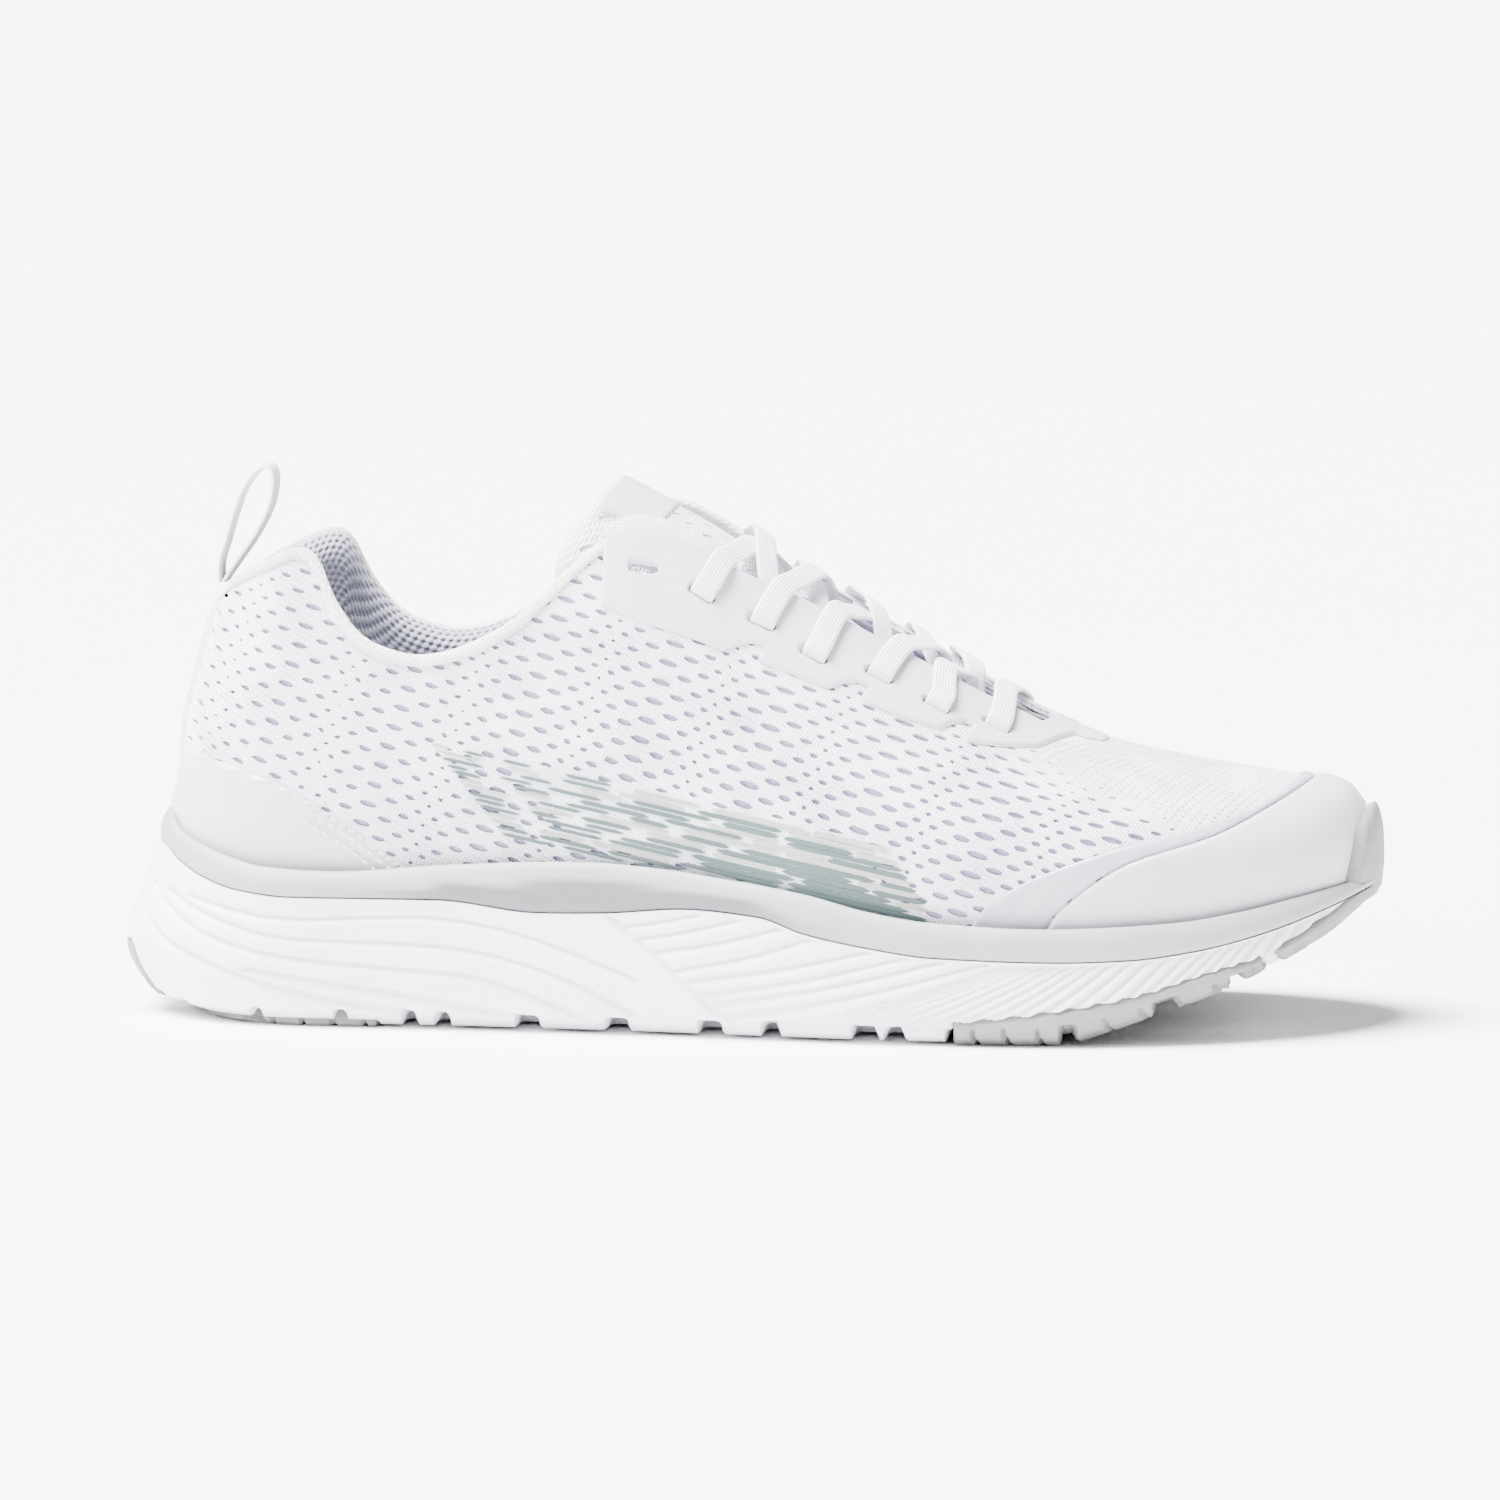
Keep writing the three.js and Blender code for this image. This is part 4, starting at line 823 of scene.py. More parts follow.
def backstay_area(points):
    x, y, z = columns_of(points)
    field = np.maximum(np.abs(y) - TAPE_HALF, np.maximum(TAPE_BOTTOM - z, z - TAPE_TOP))
    return np.maximum(field, x - 45)


# ---------- collar ----------

COLLAR_END_U = 1.42  # station where the collar meets the eyestay's top
V_STEP = 0.01  # small step around the last, to measure how long one is


def collar_edge(side):
    """Stations along the collar, the v of the topline at each, how much further apart the
    lines of a slanting edge lie, and the change of v for each millimetre down."""
    us = even_stations(0.7, lambda u: last(u, -0.45), 0.0, COLLAR_END_U)
    vs = np.linspace(0.05, 0.9, 400)
    field = outside_of(last(us[None, :], vs[:, None]), opening_outline(0))
    lowest = np.where(field > 0, np.arange(len(vs))[:, None], -1).max(0)
    lowest = np.clip(lowest, 0, len(vs) - 2)
    column = np.arange(len(us))
    above, below = field[lowest, column], field[lowest + 1, column]
    share = np.clip(above / (above - below), 0, 1)
    edge = vs[lowest] + share * (vs[1] - vs[0])
    along = np.gradient(last(us, edge), axis=0)
    slope = along[:, 2] / np.maximum(np.linalg.norm(along[:, :2], axis=1), 0.05)
    widening = np.minimum(np.sqrt(1 + slope**2), 2.4)
    widening = np.convolve(np.pad(widening, 4, "edge"), np.ones(9) / 9, "valid")
    edge = side * edge
    step = np.linalg.norm(last(us, edge + side * V_STEP) - last(us, edge), axis=1)
    return us, edge, widening, V_STEP / step


def collar_reach(us, edge, side, share):
    """A share of the way from the collar's edge down to the footbed."""
    return np.linalg.norm(last(us, edge) - last(us, side * 0.98), axis=1) * share


def collar_v(edge, per_mm, drop, side):
    """The v of places that lie a drop below the collar's edge on the inside."""
    return side * np.clip(np.abs(edge) + per_mm * drop, 0, 0.985)


def collar_depth(us):
    """How deep the padded collar is: it thins out towards the eyestay."""
    return 7.1 - 4.1 * ramp(us, 1.2, COLLAR_END_U)


def collar_binding(side):
    """Knitted tube round the collar's edge, closed where it meets the eyestay."""
    section = [(0.3, BINDING_WIDTH), (0.75, BINDING_WIDTH - 0.15), (0.95, 2.3), (0.95, 1.4),
               (0.75, 0.6), (0.3, 0.1), (-0.4, -0.15), (-1.2, -0.1), (-1.7, 0.3), (-1.4, 1.0),
               (-0.6, 1.4), (0.1, 2.2)]  # offset from the last and drop below the edge
    us, edge, widening, per_mm = collar_edge(side)
    rows, uvs = [], []
    for offset, drop in section:
        v = side * np.clip(np.abs(edge + side * per_mm * drop * widening), 0, 1)
        rows.append(last(us, v, offset))
        uvs.append(np.stack([us * 60, np.full(len(us), offset - drop)], 1))
    rows, uvs = np.array(rows), np.array(uvs)
    count, columns = rows.shape[:2]
    triangles = np.concatenate([grid_triangles(count, columns, wrap_rows=True),
                                end_fan(count, columns, columns - 1)])
    return grid_shape(rows, uvs, triangles if side < 0 else triangles[:, ::-1])


def waffle_relief(s, t):
    """Dimples of the lining cloth, from -1 to 1, along the same three directions as its look."""
    turns = [math.radians(turn) for turn in WAFFLE_TURNS]
    waves = [np.cos((s * math.cos(a) - t * math.sin(a)) * 2 * math.pi / WAFFLE_WAVE)
             for a in turns]
    return sum(waves) / 3


def collar_lining(side):
    """Padded lining: over the crest of the collar and down inside to the insole."""
    crest = [(0.12, 0.5), (0.18, 0.12), (0.3, -0.1), (0.45, -0.15), (0.6, 0.0), (0.75, 0.4),
             (0.87, 1.1), (0.95, 2.1), (1.0, 3.4)]  # share of the depth and drop below the edge
    us, edge, widening, per_mm = collar_edge(side)
    start = crest[-1][1] * widening
    below = np.linspace(0, 1, 118)[1:, None]
    way_down = start + below * (collar_reach(us, edge, side, 1.08) - start)
    drop = np.vstack([[fall * widening for _, fall in crest], way_down])
    share = np.array([share for share, _ in crest] + [1.0] * len(below))[:, None]
    v = collar_v(edge, per_mm, drop, side)
    offset = -share * collar_depth(us)
    smooth_face = last(us, v, offset)
    steps = np.linalg.norm(np.diff(smooth_face, axis=0), axis=2)
    t = np.vstack([np.zeros(len(us)), np.cumsum(steps, axis=0)])
    s = np.broadcast_to(smooth_face[-1, :, 0], t.shape)
    relief = 0.18 * waffle_relief(s, t) * ramp(drop, 0.2, 2.0)
    triangles = grid_triangles(*t.shape)
    return grid_shape(last(us, v, offset - relief), np.stack([s, t], -1),
                      triangles[:, ::-1] if side < 0 else triangles)


def collar_foam(side):
    """Foam pad between the outer mesh and the padded lining, thinned along its edges."""
    us, edge, widening, per_mm = [column[:-12] for column in collar_edge(side)]
    shares = np.linspace(0, 1, 40)[:, None]
    drop = 3.6 * widening + shares * (collar_reach(us, edge, side, 0.5) - 3.6 * widening)
    v = collar_v(edge, per_mm, drop, side)
    thin = np.sqrt(np.clip(np.minimum(shares, 1 - shares) * 8, 0.02, 1))
    middle, half = -0.9 - collar_depth(us) / 2, (collar_depth(us) / 2 - 1.3) * thin
    outer, inner = last(us, v, middle + half), last(us, v, middle - half)
    uv = np.stack([last(us, v)[..., 0], -drop], -1)
    triangles = grid_triangles(*uv.shape[:2])
    return closed_sheet(outer.reshape(-1, 3), inner.reshape(-1, 3),
                        triangles[:, ::-1] if side > 0 else triangles, uv.reshape(-1, 2))


# ---------- tongue ----------

TONGUE_PATH = centripetal([[222, 0, 65.4], [214, 0, 68.2], [205, 0, 72.6], [197, 0, 77.2],
                           [184, 0, 86], [168, 0, 97.6], [150, 0, 110.4], [138, 0, 117.8],
                           [128, 0, 123], [117.5, 0, 128.2]], 24)
tongue_half = profile((0, 19), (0.2, 22), (0.5, 24.5), (0.75, 23), (0.92, 21.3), (1, 19.6))
tongue_round = profile((0, 46), (0.35, 42), (0.7, 31), (1, 24.5))
WING_SWEEP = 8  # how far the top corners lie back towards the heel
tongue_arch = profile((0, 26), (0.35, 40), (0.7, 55), (1, 52))
tongue_thickness = profile((0, 3.4), (1, 7.2))
TONGUE_LENGTH = 130
TONGUE_CORNER = 9  # radius of its free corners
tongue_run = spaced(TONGUE_PATH, 0.5)
tongue_tangent = unit(np.gradient(tongue_run, axis=0))


def tongue(t, s, depth):
    """Point of the tongue: t along it, s from -1 to 1 across, depth below the outer face."""
    t, s, depth = np.broadcast_arrays(np.asarray(t, float), s, depth)
    at = t * (len(tongue_run) - 1)
    knots = np.arange(len(tongue_run))
    x, z = [np.interp(at, knots, tongue_run[:, k]) for k in (0, 2)]
    tx, tz = [np.interp(at, knots, tongue_tangent[:, k]) for k in (0, 2)]
    shrink = 1 - depth / tongue_round(t)
    across = s * tongue_half(t) * shrink
    bend = tongue_round(t) * shrink
    drop = (tongue_arch(t) - depth) * (1 - np.sqrt(1 - np.minimum((across / bend) ** 2, 0.98)))
    sweep = WING_SWEEP * s * s * ramp(t, 0.6, 1)
    return np.stack([x + tz * -(depth + drop) - sweep, centre_line(x) + across,
                     z + tx * (depth + drop)], -1)


def tongue_margin(t, s):
    """Distance in millimetres from the tongue's free edge."""
    sideways = (1 - np.abs(s)) * tongue_half(t)
    upward = (1 - t) * TONGUE_LENGTH
    corner = np.hypot(np.maximum(TONGUE_CORNER - sideways, 0),
                      np.maximum(TONGUE_CORNER - upward, 0))
    return np.minimum(np.minimum(sideways, upward), TONGUE_CORNER - corner)


def tongue_uv(t, s):
    return np.stack([t * TONGUE_LENGTH, s * tongue_half(t)], 1)


def tongue_skin(face, inset=0.0, holes=False):
    """Outer or back skin of the padded tongue, drawn in along the free edge."""
    ts, ss = np.linspace(0, 1, 260), np.linspace(-1, 1, 110)
    t, s = np.meshgrid(ts, ss)
    field = inset - tongue_margin(t, s)
    if holes:
        lattice = hole_field(t * TONGUE_LENGTH, s * tongue_half(t), np.full(t.shape, 0.62))
        field = np.maximum(field, np.where(tongue_margin(t, s) > 2.5, -lattice, field))
    t, s, triangles = trimmed_grid(ts, ss, field)
    thickness = tongue_thickness(t) - 2 * inset * 0.35
    share = np.clip((tongue_margin(t, s) - inset) / (thickness * 0.55), 0, 1)
    sunk = thickness / 2 * (1 - np.sqrt(1 - (1 - share) ** 2)) + inset * 0.35
    depth = sunk if face else tongue_thickness(t) - sunk
    skin = 0.7 if face else -0.7
    outer, inner = tongue(t, s, depth), tongue(t, s, depth + skin * np.minimum(share + 0.05, 1))
    return closed_sheet(outer, inner, triangles, tongue_uv(t, s))


def tongue_tab():
    """Smooth rounded tab at the tongue's top."""
    ts, ss = np.linspace(0.8, 1, 60), np.linspace(-1, 1, 80)

    def region(t, s):
        along, across = (t - 0.925) * TONGUE_LENGTH, s * tongue_half(t)
        corner = np.hypot(np.maximum(np.abs(along) - 4.5, 0), np.maximum(np.abs(across) - 9, 0))
        return corner - 3.5

    t, s, triangles = trimmed_grid(ts, ss, region(*np.meshgrid(ts, ss)))
    share = np.clip(-region(t, s) / 0.9, 0, 1)
    lift = -0.1 - 0.5 * np.sqrt(1 - (1 - share) ** 2)
    return closed_sheet(tongue(t, s, lift), tongue(t, s, -0.05), triangles, tongue_uv(t, s))


# ---------- lace ----------

LACE_LIFT = 2.2  # middle of a lace run lying on the eyestay
LACE_SINK = -4.4  # middle of a run under the eyestay
CROSSING_GAP = 1.25
LACE_LEAN = 3.5  # each run over the throat starts this far towards the toe of its slots
BAR_ROOM = 2.5  # except the first, which starts this far behind the bar
crossing_height = profile((138, 121.5), (150, 114.6), (162, 106.8), (177, 97.2), (187, 90.8),
                          (200, 83.2), (212, 77.8))


def height_at(x, across):
    share = across / half_width(x)
    return widest(x) + (ridge(x) - widest(x)) * math.sqrt(1 - share * share)


def throat_normal(x):
    rise = crossing_height(x + 2) - crossing_height(x - 2)
    return unit(np.array([-rise, 0, 4.0]))


class LaceRoute:
    """Control points of a lace, each with the direction that its flat side faces."""

    def __init__(self):
        self.points, self.flats, self.sign = [], [], 1

    def add(self, point, flat):
        self.points.append(point)
        self.flats.append(flat * self.sign)

    def add_across(self, x, across, side, lift):
        self.add(*on_last(x, height_at(x, across), side, lift))

    def through_slot(self, row, side):
        middle, normal, _, away = slot_frame(row, side)
        for out, up, flat in ((-2.6, LACE_LIFT, normal), (-0.9, LACE_LIFT - 0.1, normal),
                              (0.25, LACE_LIFT - 1.7, away), (0.25, LACE_SINK + 1.5, away)):
            self.add(middle + away * out + normal * up, flat)
        self.sign *= -1
        for out, up in ((-0.9, LACE_SINK + 0.1), (-2.6, LACE_SINK)):
            self.add(middle + away * out + normal * up, normal)

    def cross_from(self, row, side, over):
        near_x = SLOTS[row][0] + (LACE_LEAN if row < LAST_ROW else -BAR_ROOM)
        far_x = SLOTS[row - 1][0] + (LACE_LEAN if row < LAST_ROW else 0)
        near, far = edge_across(near_x), edge_across(far_x)
        self.add_across(near_x, near - 1, side, LACE_SINK)
        self.add_across(near_x - 1.5, near - 5, side, LACE_SINK + 0.3)
        middle_x = (near_x + far_x) / 2
        up = throat_normal(middle_x)
        top = np.array([middle_x, centre_line(middle_x), crossing_height(middle_x)])
        top = top + up * (CROSSING_GAP if over else -CROSSING_GAP)
        self.add(top, up)
        landing, normal = on_last(far_x, height_at(far_x, far + 0.5), -side, LACE_LIFT)
        facing = unit(normal + up)
        self.add(landing + (top - landing) * 0.35 + facing * 0.5, facing)
        self.add(landing, normal)


def half_route(side, over):
    """Laced from the toe-side row up, then down inside the quarter to the aglet."""
    route, here = LaceRoute(), side
    for row in range(LAST_ROW, 1, -1):
        route.through_slot(row, here)
        route.cross_from(row, here, over)
        here = -here
    route.through_slot(1, here)
    for x, z in ((139.5, 96), (138.6, 88), (138.2, 80), (138, 73)):
        route.add(*on_last(x, z, here, -5.3))
    return route


def lace_route():
    first, second = half_route(-1, True), half_route(1, False)
    bar_x = SLOTS[LAST_ROW][0]
    bar = [on_last(bar_x, edge_height(bar_x) - 0.6, side, LACE_LIFT) for _, side in SIDES]
    top = np.array([bar_x, centre_line(bar_x), ridge(bar_x) + LACE_LIFT - 0.4])
    points = first.points[::-1] + [bar[0][0], top, bar[1][0]] + second.points
    flats = first.flats[::-1] + [bar[0][1], throat_normal(bar_x), bar[1][1]] + second.flats
    return np.array(points), np.array(flats)


def ribbon(points, flats, width, thickness, steps):
    """Flat band with rounded edges; each flat says which way its broad side faces."""
    middle = centripetal(points, steps)
    t = np.arange(len(middle)) / steps
    facing = np.stack([np.interp(t, np.arange(len(flats)), flats[:, k]) for k in range(3)], 1)
    tangent = np.gradient(middle, axis=0)
    across = unit(np.cross(facing, tangent))
    up = unit(np.cross(tangent, across))
    along = lengths_along(middle)
    half = [(a, (1 - abs(a) ** 6) ** 0.5) for a in np.sin(np.linspace(-HALF_PI, HALF_PI, 13))]
    section = half + [(a, -b) for a, b in half[::-1][1:-1]]
    rings = np.array([middle + across * (a * width / 2) + up * (b * thickness / 2)
                      for a, b in section])
    uvs = np.array([np.stack([along, np.full(len(along), a * width / 2)], 1) for a, _ in section])
    count, columns = rings.shape[:2]
    triangles = np.concatenate([grid_triangles(count, columns, wrap_rows=True),
                                end_fan(count, columns, 0), end_fan(count, columns, columns - 1)])
    return grid_shape(rings, uvs, triangles[:, ::-1])


# ---------- band along the throat's top ----------

BAND_START, BAND_END = 117.5, 150
BAND_WIDTH, BAND_THICKNESS = 3.4, 2.0


def throat_band(side):
    """Round knitted band that follows the eyestay's top edge up to the first lace."""
    xs = np.linspace(BAND_START, BAND_END, 22)
    frames = [on_last(x, edge_height(x) + 0.9, side, -0.1) for x in xs]
    points, flats = [np.array(column) for column in zip(*frames)]
    return ribbon(points, flats, BAND_WIDTH, BAND_THICKNESS, 4)


# ---------- pull loop ----------

LOOP_WIDTH, LOOP_THICKNESS = 9.0, 1.2
LOOP_LINE = [[22, 101.4], [22.1, 106], [23.6, 111], [25.3, 116.8], [27.6, 123.2], [30.7, 127.8],
             [33.6, 129.5], [35.6, 128.6], [36.3, 125.7], [35.7, 121], [34.1, 116.6],
             [31.2, 111.4], [28.4, 107.4], [25.9, 103.8], [24.2, 101.3]]


def pull_loop():
    """Webbing loop, whose middle line is half its thickness inside the drawn one."""
    line = shifted(smooth(LOOP_LINE, 48), LOOP_THICKNESS / 2)
    normal = shifted(line, -1) - line
    points, flats = [np.insert(plane, 1, 0, axis=1) for plane in (line, normal)]
    return ribbon(points, flats, LOOP_WIDTH, LOOP_THICKNESS, 3)


# ---------- sole ----------

ground = profile((0, 0), (228, 0), (237, 2.6), (246, 5.6), (264, 11.8), (275, 16.6), (288, 23.4),
                 (295, 28.6))
parting = profile((0, 40.4), (11, 40.4), (16.5, 37.3), (22.7, 34.4), (31.8, 31.9), (45, 30.7),
                  (80, 30.8), (104, 28.4), (120, 28.8), (140, 30.3), (157, 29), (168, 25.4),
                  (183, 22.6), (199, 20.6), (229, 19.8), (244, 20.2), (258, 21.8), (272, 24.8),
                  (290, 30.6), (298, 33.6))
rim_top = profile((0, 47.8), (12, 47.8), (16.5, 44.2), (28, 40), (38.7, 37.6), (54, 37),
                  (84, 39.2), (115, 40.5), (130, 39.8), (152, 37.2), (168, 34.6), (183, 31),
                  (198, 28.8), (224, 27.6), (253, 28.6), (268, 30.5), (281, 33), (298, 35.9))
side_spread = profile((0, 0.5), (0.12, 4.2), (0.42, 6.6), (0.74, 6), (1, 5.2))
side_heel = profile((0, 20), (0.12, 6), (0.42, 0), (0.74, 4.5), (1, 8.2))
side_toe = profile((0, 292), (0.12, 295.5), (0.42, 297.4), (0.74, 297.8), (1, 298))
FOAM_LIFT = 0.8


def sole(u, s, inset=0.0, lift=0.0):
    """Point of the sole below the parting line. s runs from -2 at the lateral parting line to
    -1 at the ground, across the bottom to 1, and up the medial side to 2."""
    u, s, inset = np.broadcast_arrays(np.asarray(u, float), s, inset)
    share = np.clip(np.abs(s) - 1, 0, 1)
    x, opening = station(u, side_heel(share) + inset, side_toe(share) - inset)
    low = ground(x) + inset + lift
    across = (half_width(x) + side_spread(share) - inset) * opening * np.clip(s, -1, 1)
    return np.stack([x, centre_line(x) + across, low + (parting(x) - low) * share], -1)


HEEL_WAVES = ([(20, 29.7), (40.5, 25.9), (65, 26.5), (81.5, 26.5), (102, 22.7), (128, 13.1)],
              [(14, 30.5), (22, 26.5), (40.5, 21.4), (65, 20.5), (81.5, 19.8), (98, 17),
               (114.4, 11.4), (127, 5)],
              [(9, 31), (20, 22.5), (40.5, 16.9), (69.4, 14.4), (90, 12.6), (106.3, 7.6),
               (115, 3.5)],
              [(5, 26), (14, 18.5), (32.4, 11.8), (48.9, 7.9), (73.4, 3.5)],
              [(34, 13.4), (69.4, 8.7), (90, 5.2), (99.6, 3)])
FRONT_WAVES = [[(125.4, 25.9), (143.2, 29.6)], [(128.7, 23.1), (151.8, 28.4)],
               [(132.5, 20), (161.8, 26.6)], [(137.3, 15.8), (170, 24.6)],
               [(141, 13.5), (184, 22.2)], [(144, 10.4), (192.6, 21)],
               [(147, 8.4), (201, 20.2)], [(149.9, 5.6), (211, 19.8)]]
stroke_reach = profile((152, 64), (175, 47), (200, 34), (209, 29.5), (221, 25.5), (238, 21),
                       (267, 8.5), (280, 5), (292, 3))
STROKE_PITCH = 5.9


def wave_runs():
    """Runs of the sculpted grooves on the side of the foam, seen from the side."""
    runs = [smooth(run, 16) for run in HEEL_WAVES]
    runs += [smooth([a, ((a[0] + b[0]) / 2, (a[1] * 0.6 + b[1] * 0.4)), b], 8)
             for a, b in FRONT_WAVES]
    for x in np.arange(153, 291, STROKE_PITCH):
        t = np.linspace(0, 1, 9)
        end = x + stroke_reach(x)
        low, high = ground(x) + 3, min(parting(end), 31)
        runs.append(np.stack([x + (end - x) * t, low + (high - low) * t**1.45], 1))
    runs.append(smooth([(121, 28.5), (124.4, 25.4), (136, 15.5), (146, 7), (154, 1.5)], 12))
    return runs


GROOVE_DEPTH, GROOVE_WIDTH = 1.35, 0.75
NOTCHES = ((10.3, 1.6), (17, 1.6), (36.2, 2), (56.7, 2.4), (73, 2.6), (81, 2.6), (101.3, 5),
           (122.8, 4.6), (145.2, 5), (159.6, 3.4), (182, 5.4), (189.2, 4), (203, 3))
NOTCH_DEPTH = 2.8
PAD_SEAT = 2.4  # depth of the foam's recess for each pad
NOTCH_REACH = (0.72, 0.84)  # places across the sole where a notch starts and is full


def groove_inset(points):
    x, _, z = columns_of(points)
    best = np.full(x.shape, FAR)
    for run in wave_runs():
        best = np.minimum(best, distance_to(x, z, run, closed=False))
    return GROOVE_DEPTH * np.exp(-((best / GROOVE_WIDTH) ** 2))


def notch_inset(points, s):
    """Short channels under the sole's edge, which open on the side near the ground."""
    x, share = points[..., 0], np.clip(np.abs(s) - 1, 0, 1)
    depth = np.zeros(x.shape)
    for middle, width in NOTCHES:
        gap = np.abs(x - middle) - width / 2
        depth = np.maximum(depth, 1 - ramp(gap, -0.5, 0.6))
    return NOTCH_DEPTH * depth * (1 - ramp(share, 0.05, 0.13)) * ramp(np.abs(s), *NOTCH_REACH)


PADS = {
    "outsole_heel_lateral": [[-10, -60], [62, -60], [66, -30], [60, -10], [40, -7], [-10, -7]],
    "outsole_heel_medial": [[-10, 60], [-10, 7], [40, 7], [56, 10], [60, 30], [57, 60]],
    "outsole_front_lateral": [[206, -80], [274, -80], [274, -22], [262, -20], [236, -22],
                              [200, -26]],
    "outsole_front_centre": [[198, -21], [236, -17], [262, -15], [270, 4], [262, 18], [236, 19],
                             [200, 19]],
    "outsole_front_medial": [[204, 24], [236, 24], [262, 23], [272, 25], [272, 80], [210, 80]],
    "outsole_toe": [[277.5, -80], [330, -80], [330, 80], [275.5, 80], [275.5, 22], [273.5, 4],
                    [277.5, -18]],
}
reach_line = profile((0, 17), (3, 17), (7, 9), (13, 2), (22, 1.3), (66, 1.3), (70, 4.2),
                     (196, 4.2), (210, 5.4), (230, 8.4), (246, 11.4), (263, 16.6), (275, 20),
                     (284, 25.5), (290, 29.5), (296, 34))


def pad_field(points, outline):
    """Negative where a rubber pad covers the sole."""
    plan = distance_to(points[..., 0], points[..., 1], outline)
    return np.maximum(plan, points[..., 2] - reach_line(points[..., 0]))


def sole_stations(step):
    return even_stations(step, lambda u: sole(u, -1.5))


def midsole():
    """Foam body: both sides and the bottom in one grid, closed by a flat lid."""
    us = sole_stations(0.85)
    side_rows = np.linspace(2, 1, 62)[:-1]
    ss = np.concatenate([-side_rows, np.linspace(-1, 1, 60), side_rows[::-1]])
    u, s = np.meshgrid(us, ss)
    points = sole(u, s, 0, FOAM_LIFT)
    share = np.clip(np.abs(s) - 1, 0, 1)
    fade = ramp(share, 0.04, 0.12) * (1 - ramp(share, 0.95, 1.0))
    inset = groove_inset(points) * fade + notch_inset(points, s)
    covered = np.minimum.reduce([pad_field(points, outline) for outline in PADS.values()])
    seat = PAD_SEAT * (1 - ramp(covered, -0.2, 0.6))
    inset = np.where(covered < 0.8, np.maximum(inset, seat), inset)
    inset[np.abs(s) >= 2] = 0
    triangles = grid_triangles(*u.shape)[:, ::-1]
    first = np.arange(len(us))
    final = first + (len(ss) - 1) * len(us)
    lid = [np.stack([first[:-1], first[1:], final[1:]], 1),
           np.stack([first[:-1], final[1:], final[:-1]], 1)]
    body, uvs = sole(u, s, inset, FOAM_LIFT), np.stack([u * 100, s * 30], -1)
    return welded(*grid_shape(body, uvs, np.concatenate([triangles] + lid)))


LUG_GAPS = ((226.6, 3.5), (249.2, 5.6), (265.6, 3.2))
LUG_DEPTH, SIPE_DEPTH, RAIL_DEPTH = 2.5, 0.9, 1.3
RUBBER_THICKNESS = 3.0


def lug_inset(points):
    """Gaps between the lugs, and fine sipes across them."""
    x, y, _ = columns_of(points)
    depth = np.zeros(x.shape)
    for middle, width in LUG_GAPS:
        gap = np.abs(x - middle - 0.06 * np.abs(y)) - width / 2
        depth = np.maximum(depth, LUG_DEPTH * (1 - ramp(gap, -0.5, 0.3)))
    sipes = np.abs((x + 0.25 * np.abs(y)) % 7.5 - 3.75) - 0.45
    depth = np.maximum(depth, SIPE_DEPTH * (1 - ramp(sipes, -0.3, 0.3)))
    rails = np.abs((np.abs(y) + 4) % 15 - 7.5) - 0.7
    return np.maximum(depth, RAIL_DEPTH * (1 - ramp(rails, -0.4, 0.4)) * (np.abs(y) < 44))


def pad_shape(outline):
    """Rubber pad inside a plan outline, with its lugs."""
    us = sole_stations(0.8)
    ss = np.concatenate([np.linspace(-1.95, -1, 46)[:-1], np.linspace(-1, 1, 132),
                         np.linspace(1, 1.95, 46)[1:]])
    u, s, triangles = trimmed_grid(us, ss, pad_field(sole(us[None, :], ss[:, None]), outline))
    points = sole(u, s)
    share = np.clip(-pad_field(points, outline) / 0.9, 0, 1)
    edge = 1 - np.sqrt(1 - (1 - share) ** 2)
    inset = np.minimum(edge + lug_inset(points) * ramp(np.abs(s), 1.3, 1.15),
                       RUBBER_THICKNESS - 0.3)
    return closed_sheet(sole(u, s, inset), sole(u, s, RUBBER_THICKNESS), triangles[:, ::-1],
                        points[:, :2])


BUMPER_MIDDLE = 6.0
bumper_bulge = profile((24, 0.8), (32, 2.2), (38, 2.7), (43, 2.6), (47, 1.8), (51, 0.2))
bumper_half = profile((0, 22), (12, 22), (36, 18), (44, 15), (48, 11.5), (50.4, 5), (51, 0))


def bumper_shape():
    """Rubber wall in front of the toe."""
    def region(points):
        x, y, z = columns_of(points)
        field = np.maximum(np.abs(y - BUMPER_MIDDLE) - bumper_half(z), z - 50.8)
        return np.maximum(field, np.maximum(270 - x, 24 + (298 - x) * 0.2 - z)) * 0.9

    def outer(u, v):
        return 1.4 + bumper_bulge(last(u, v)[..., 2])

    return sheet_on_last(0.8, region, outer, 0.6, 1.6)


RIM_SPREAD = 5.3  # spread of the rim at which its ends reach their full length
RIM_SECTION = [(1.6, 0.0), (3.4, 0.0), (4.9, 0.0), (5.35, 0.06), (5.5, 0.2), (5.45, 0.4),
               (5.1, 0.58), (4.6, 0.74), (4.0, 0.87), (3.4, 0.96), (2.8, 1.0), (2.2, 0.97),
               (1.3, 0.88), (0.9, 0.5)]  # spread past the last and share of the band's height


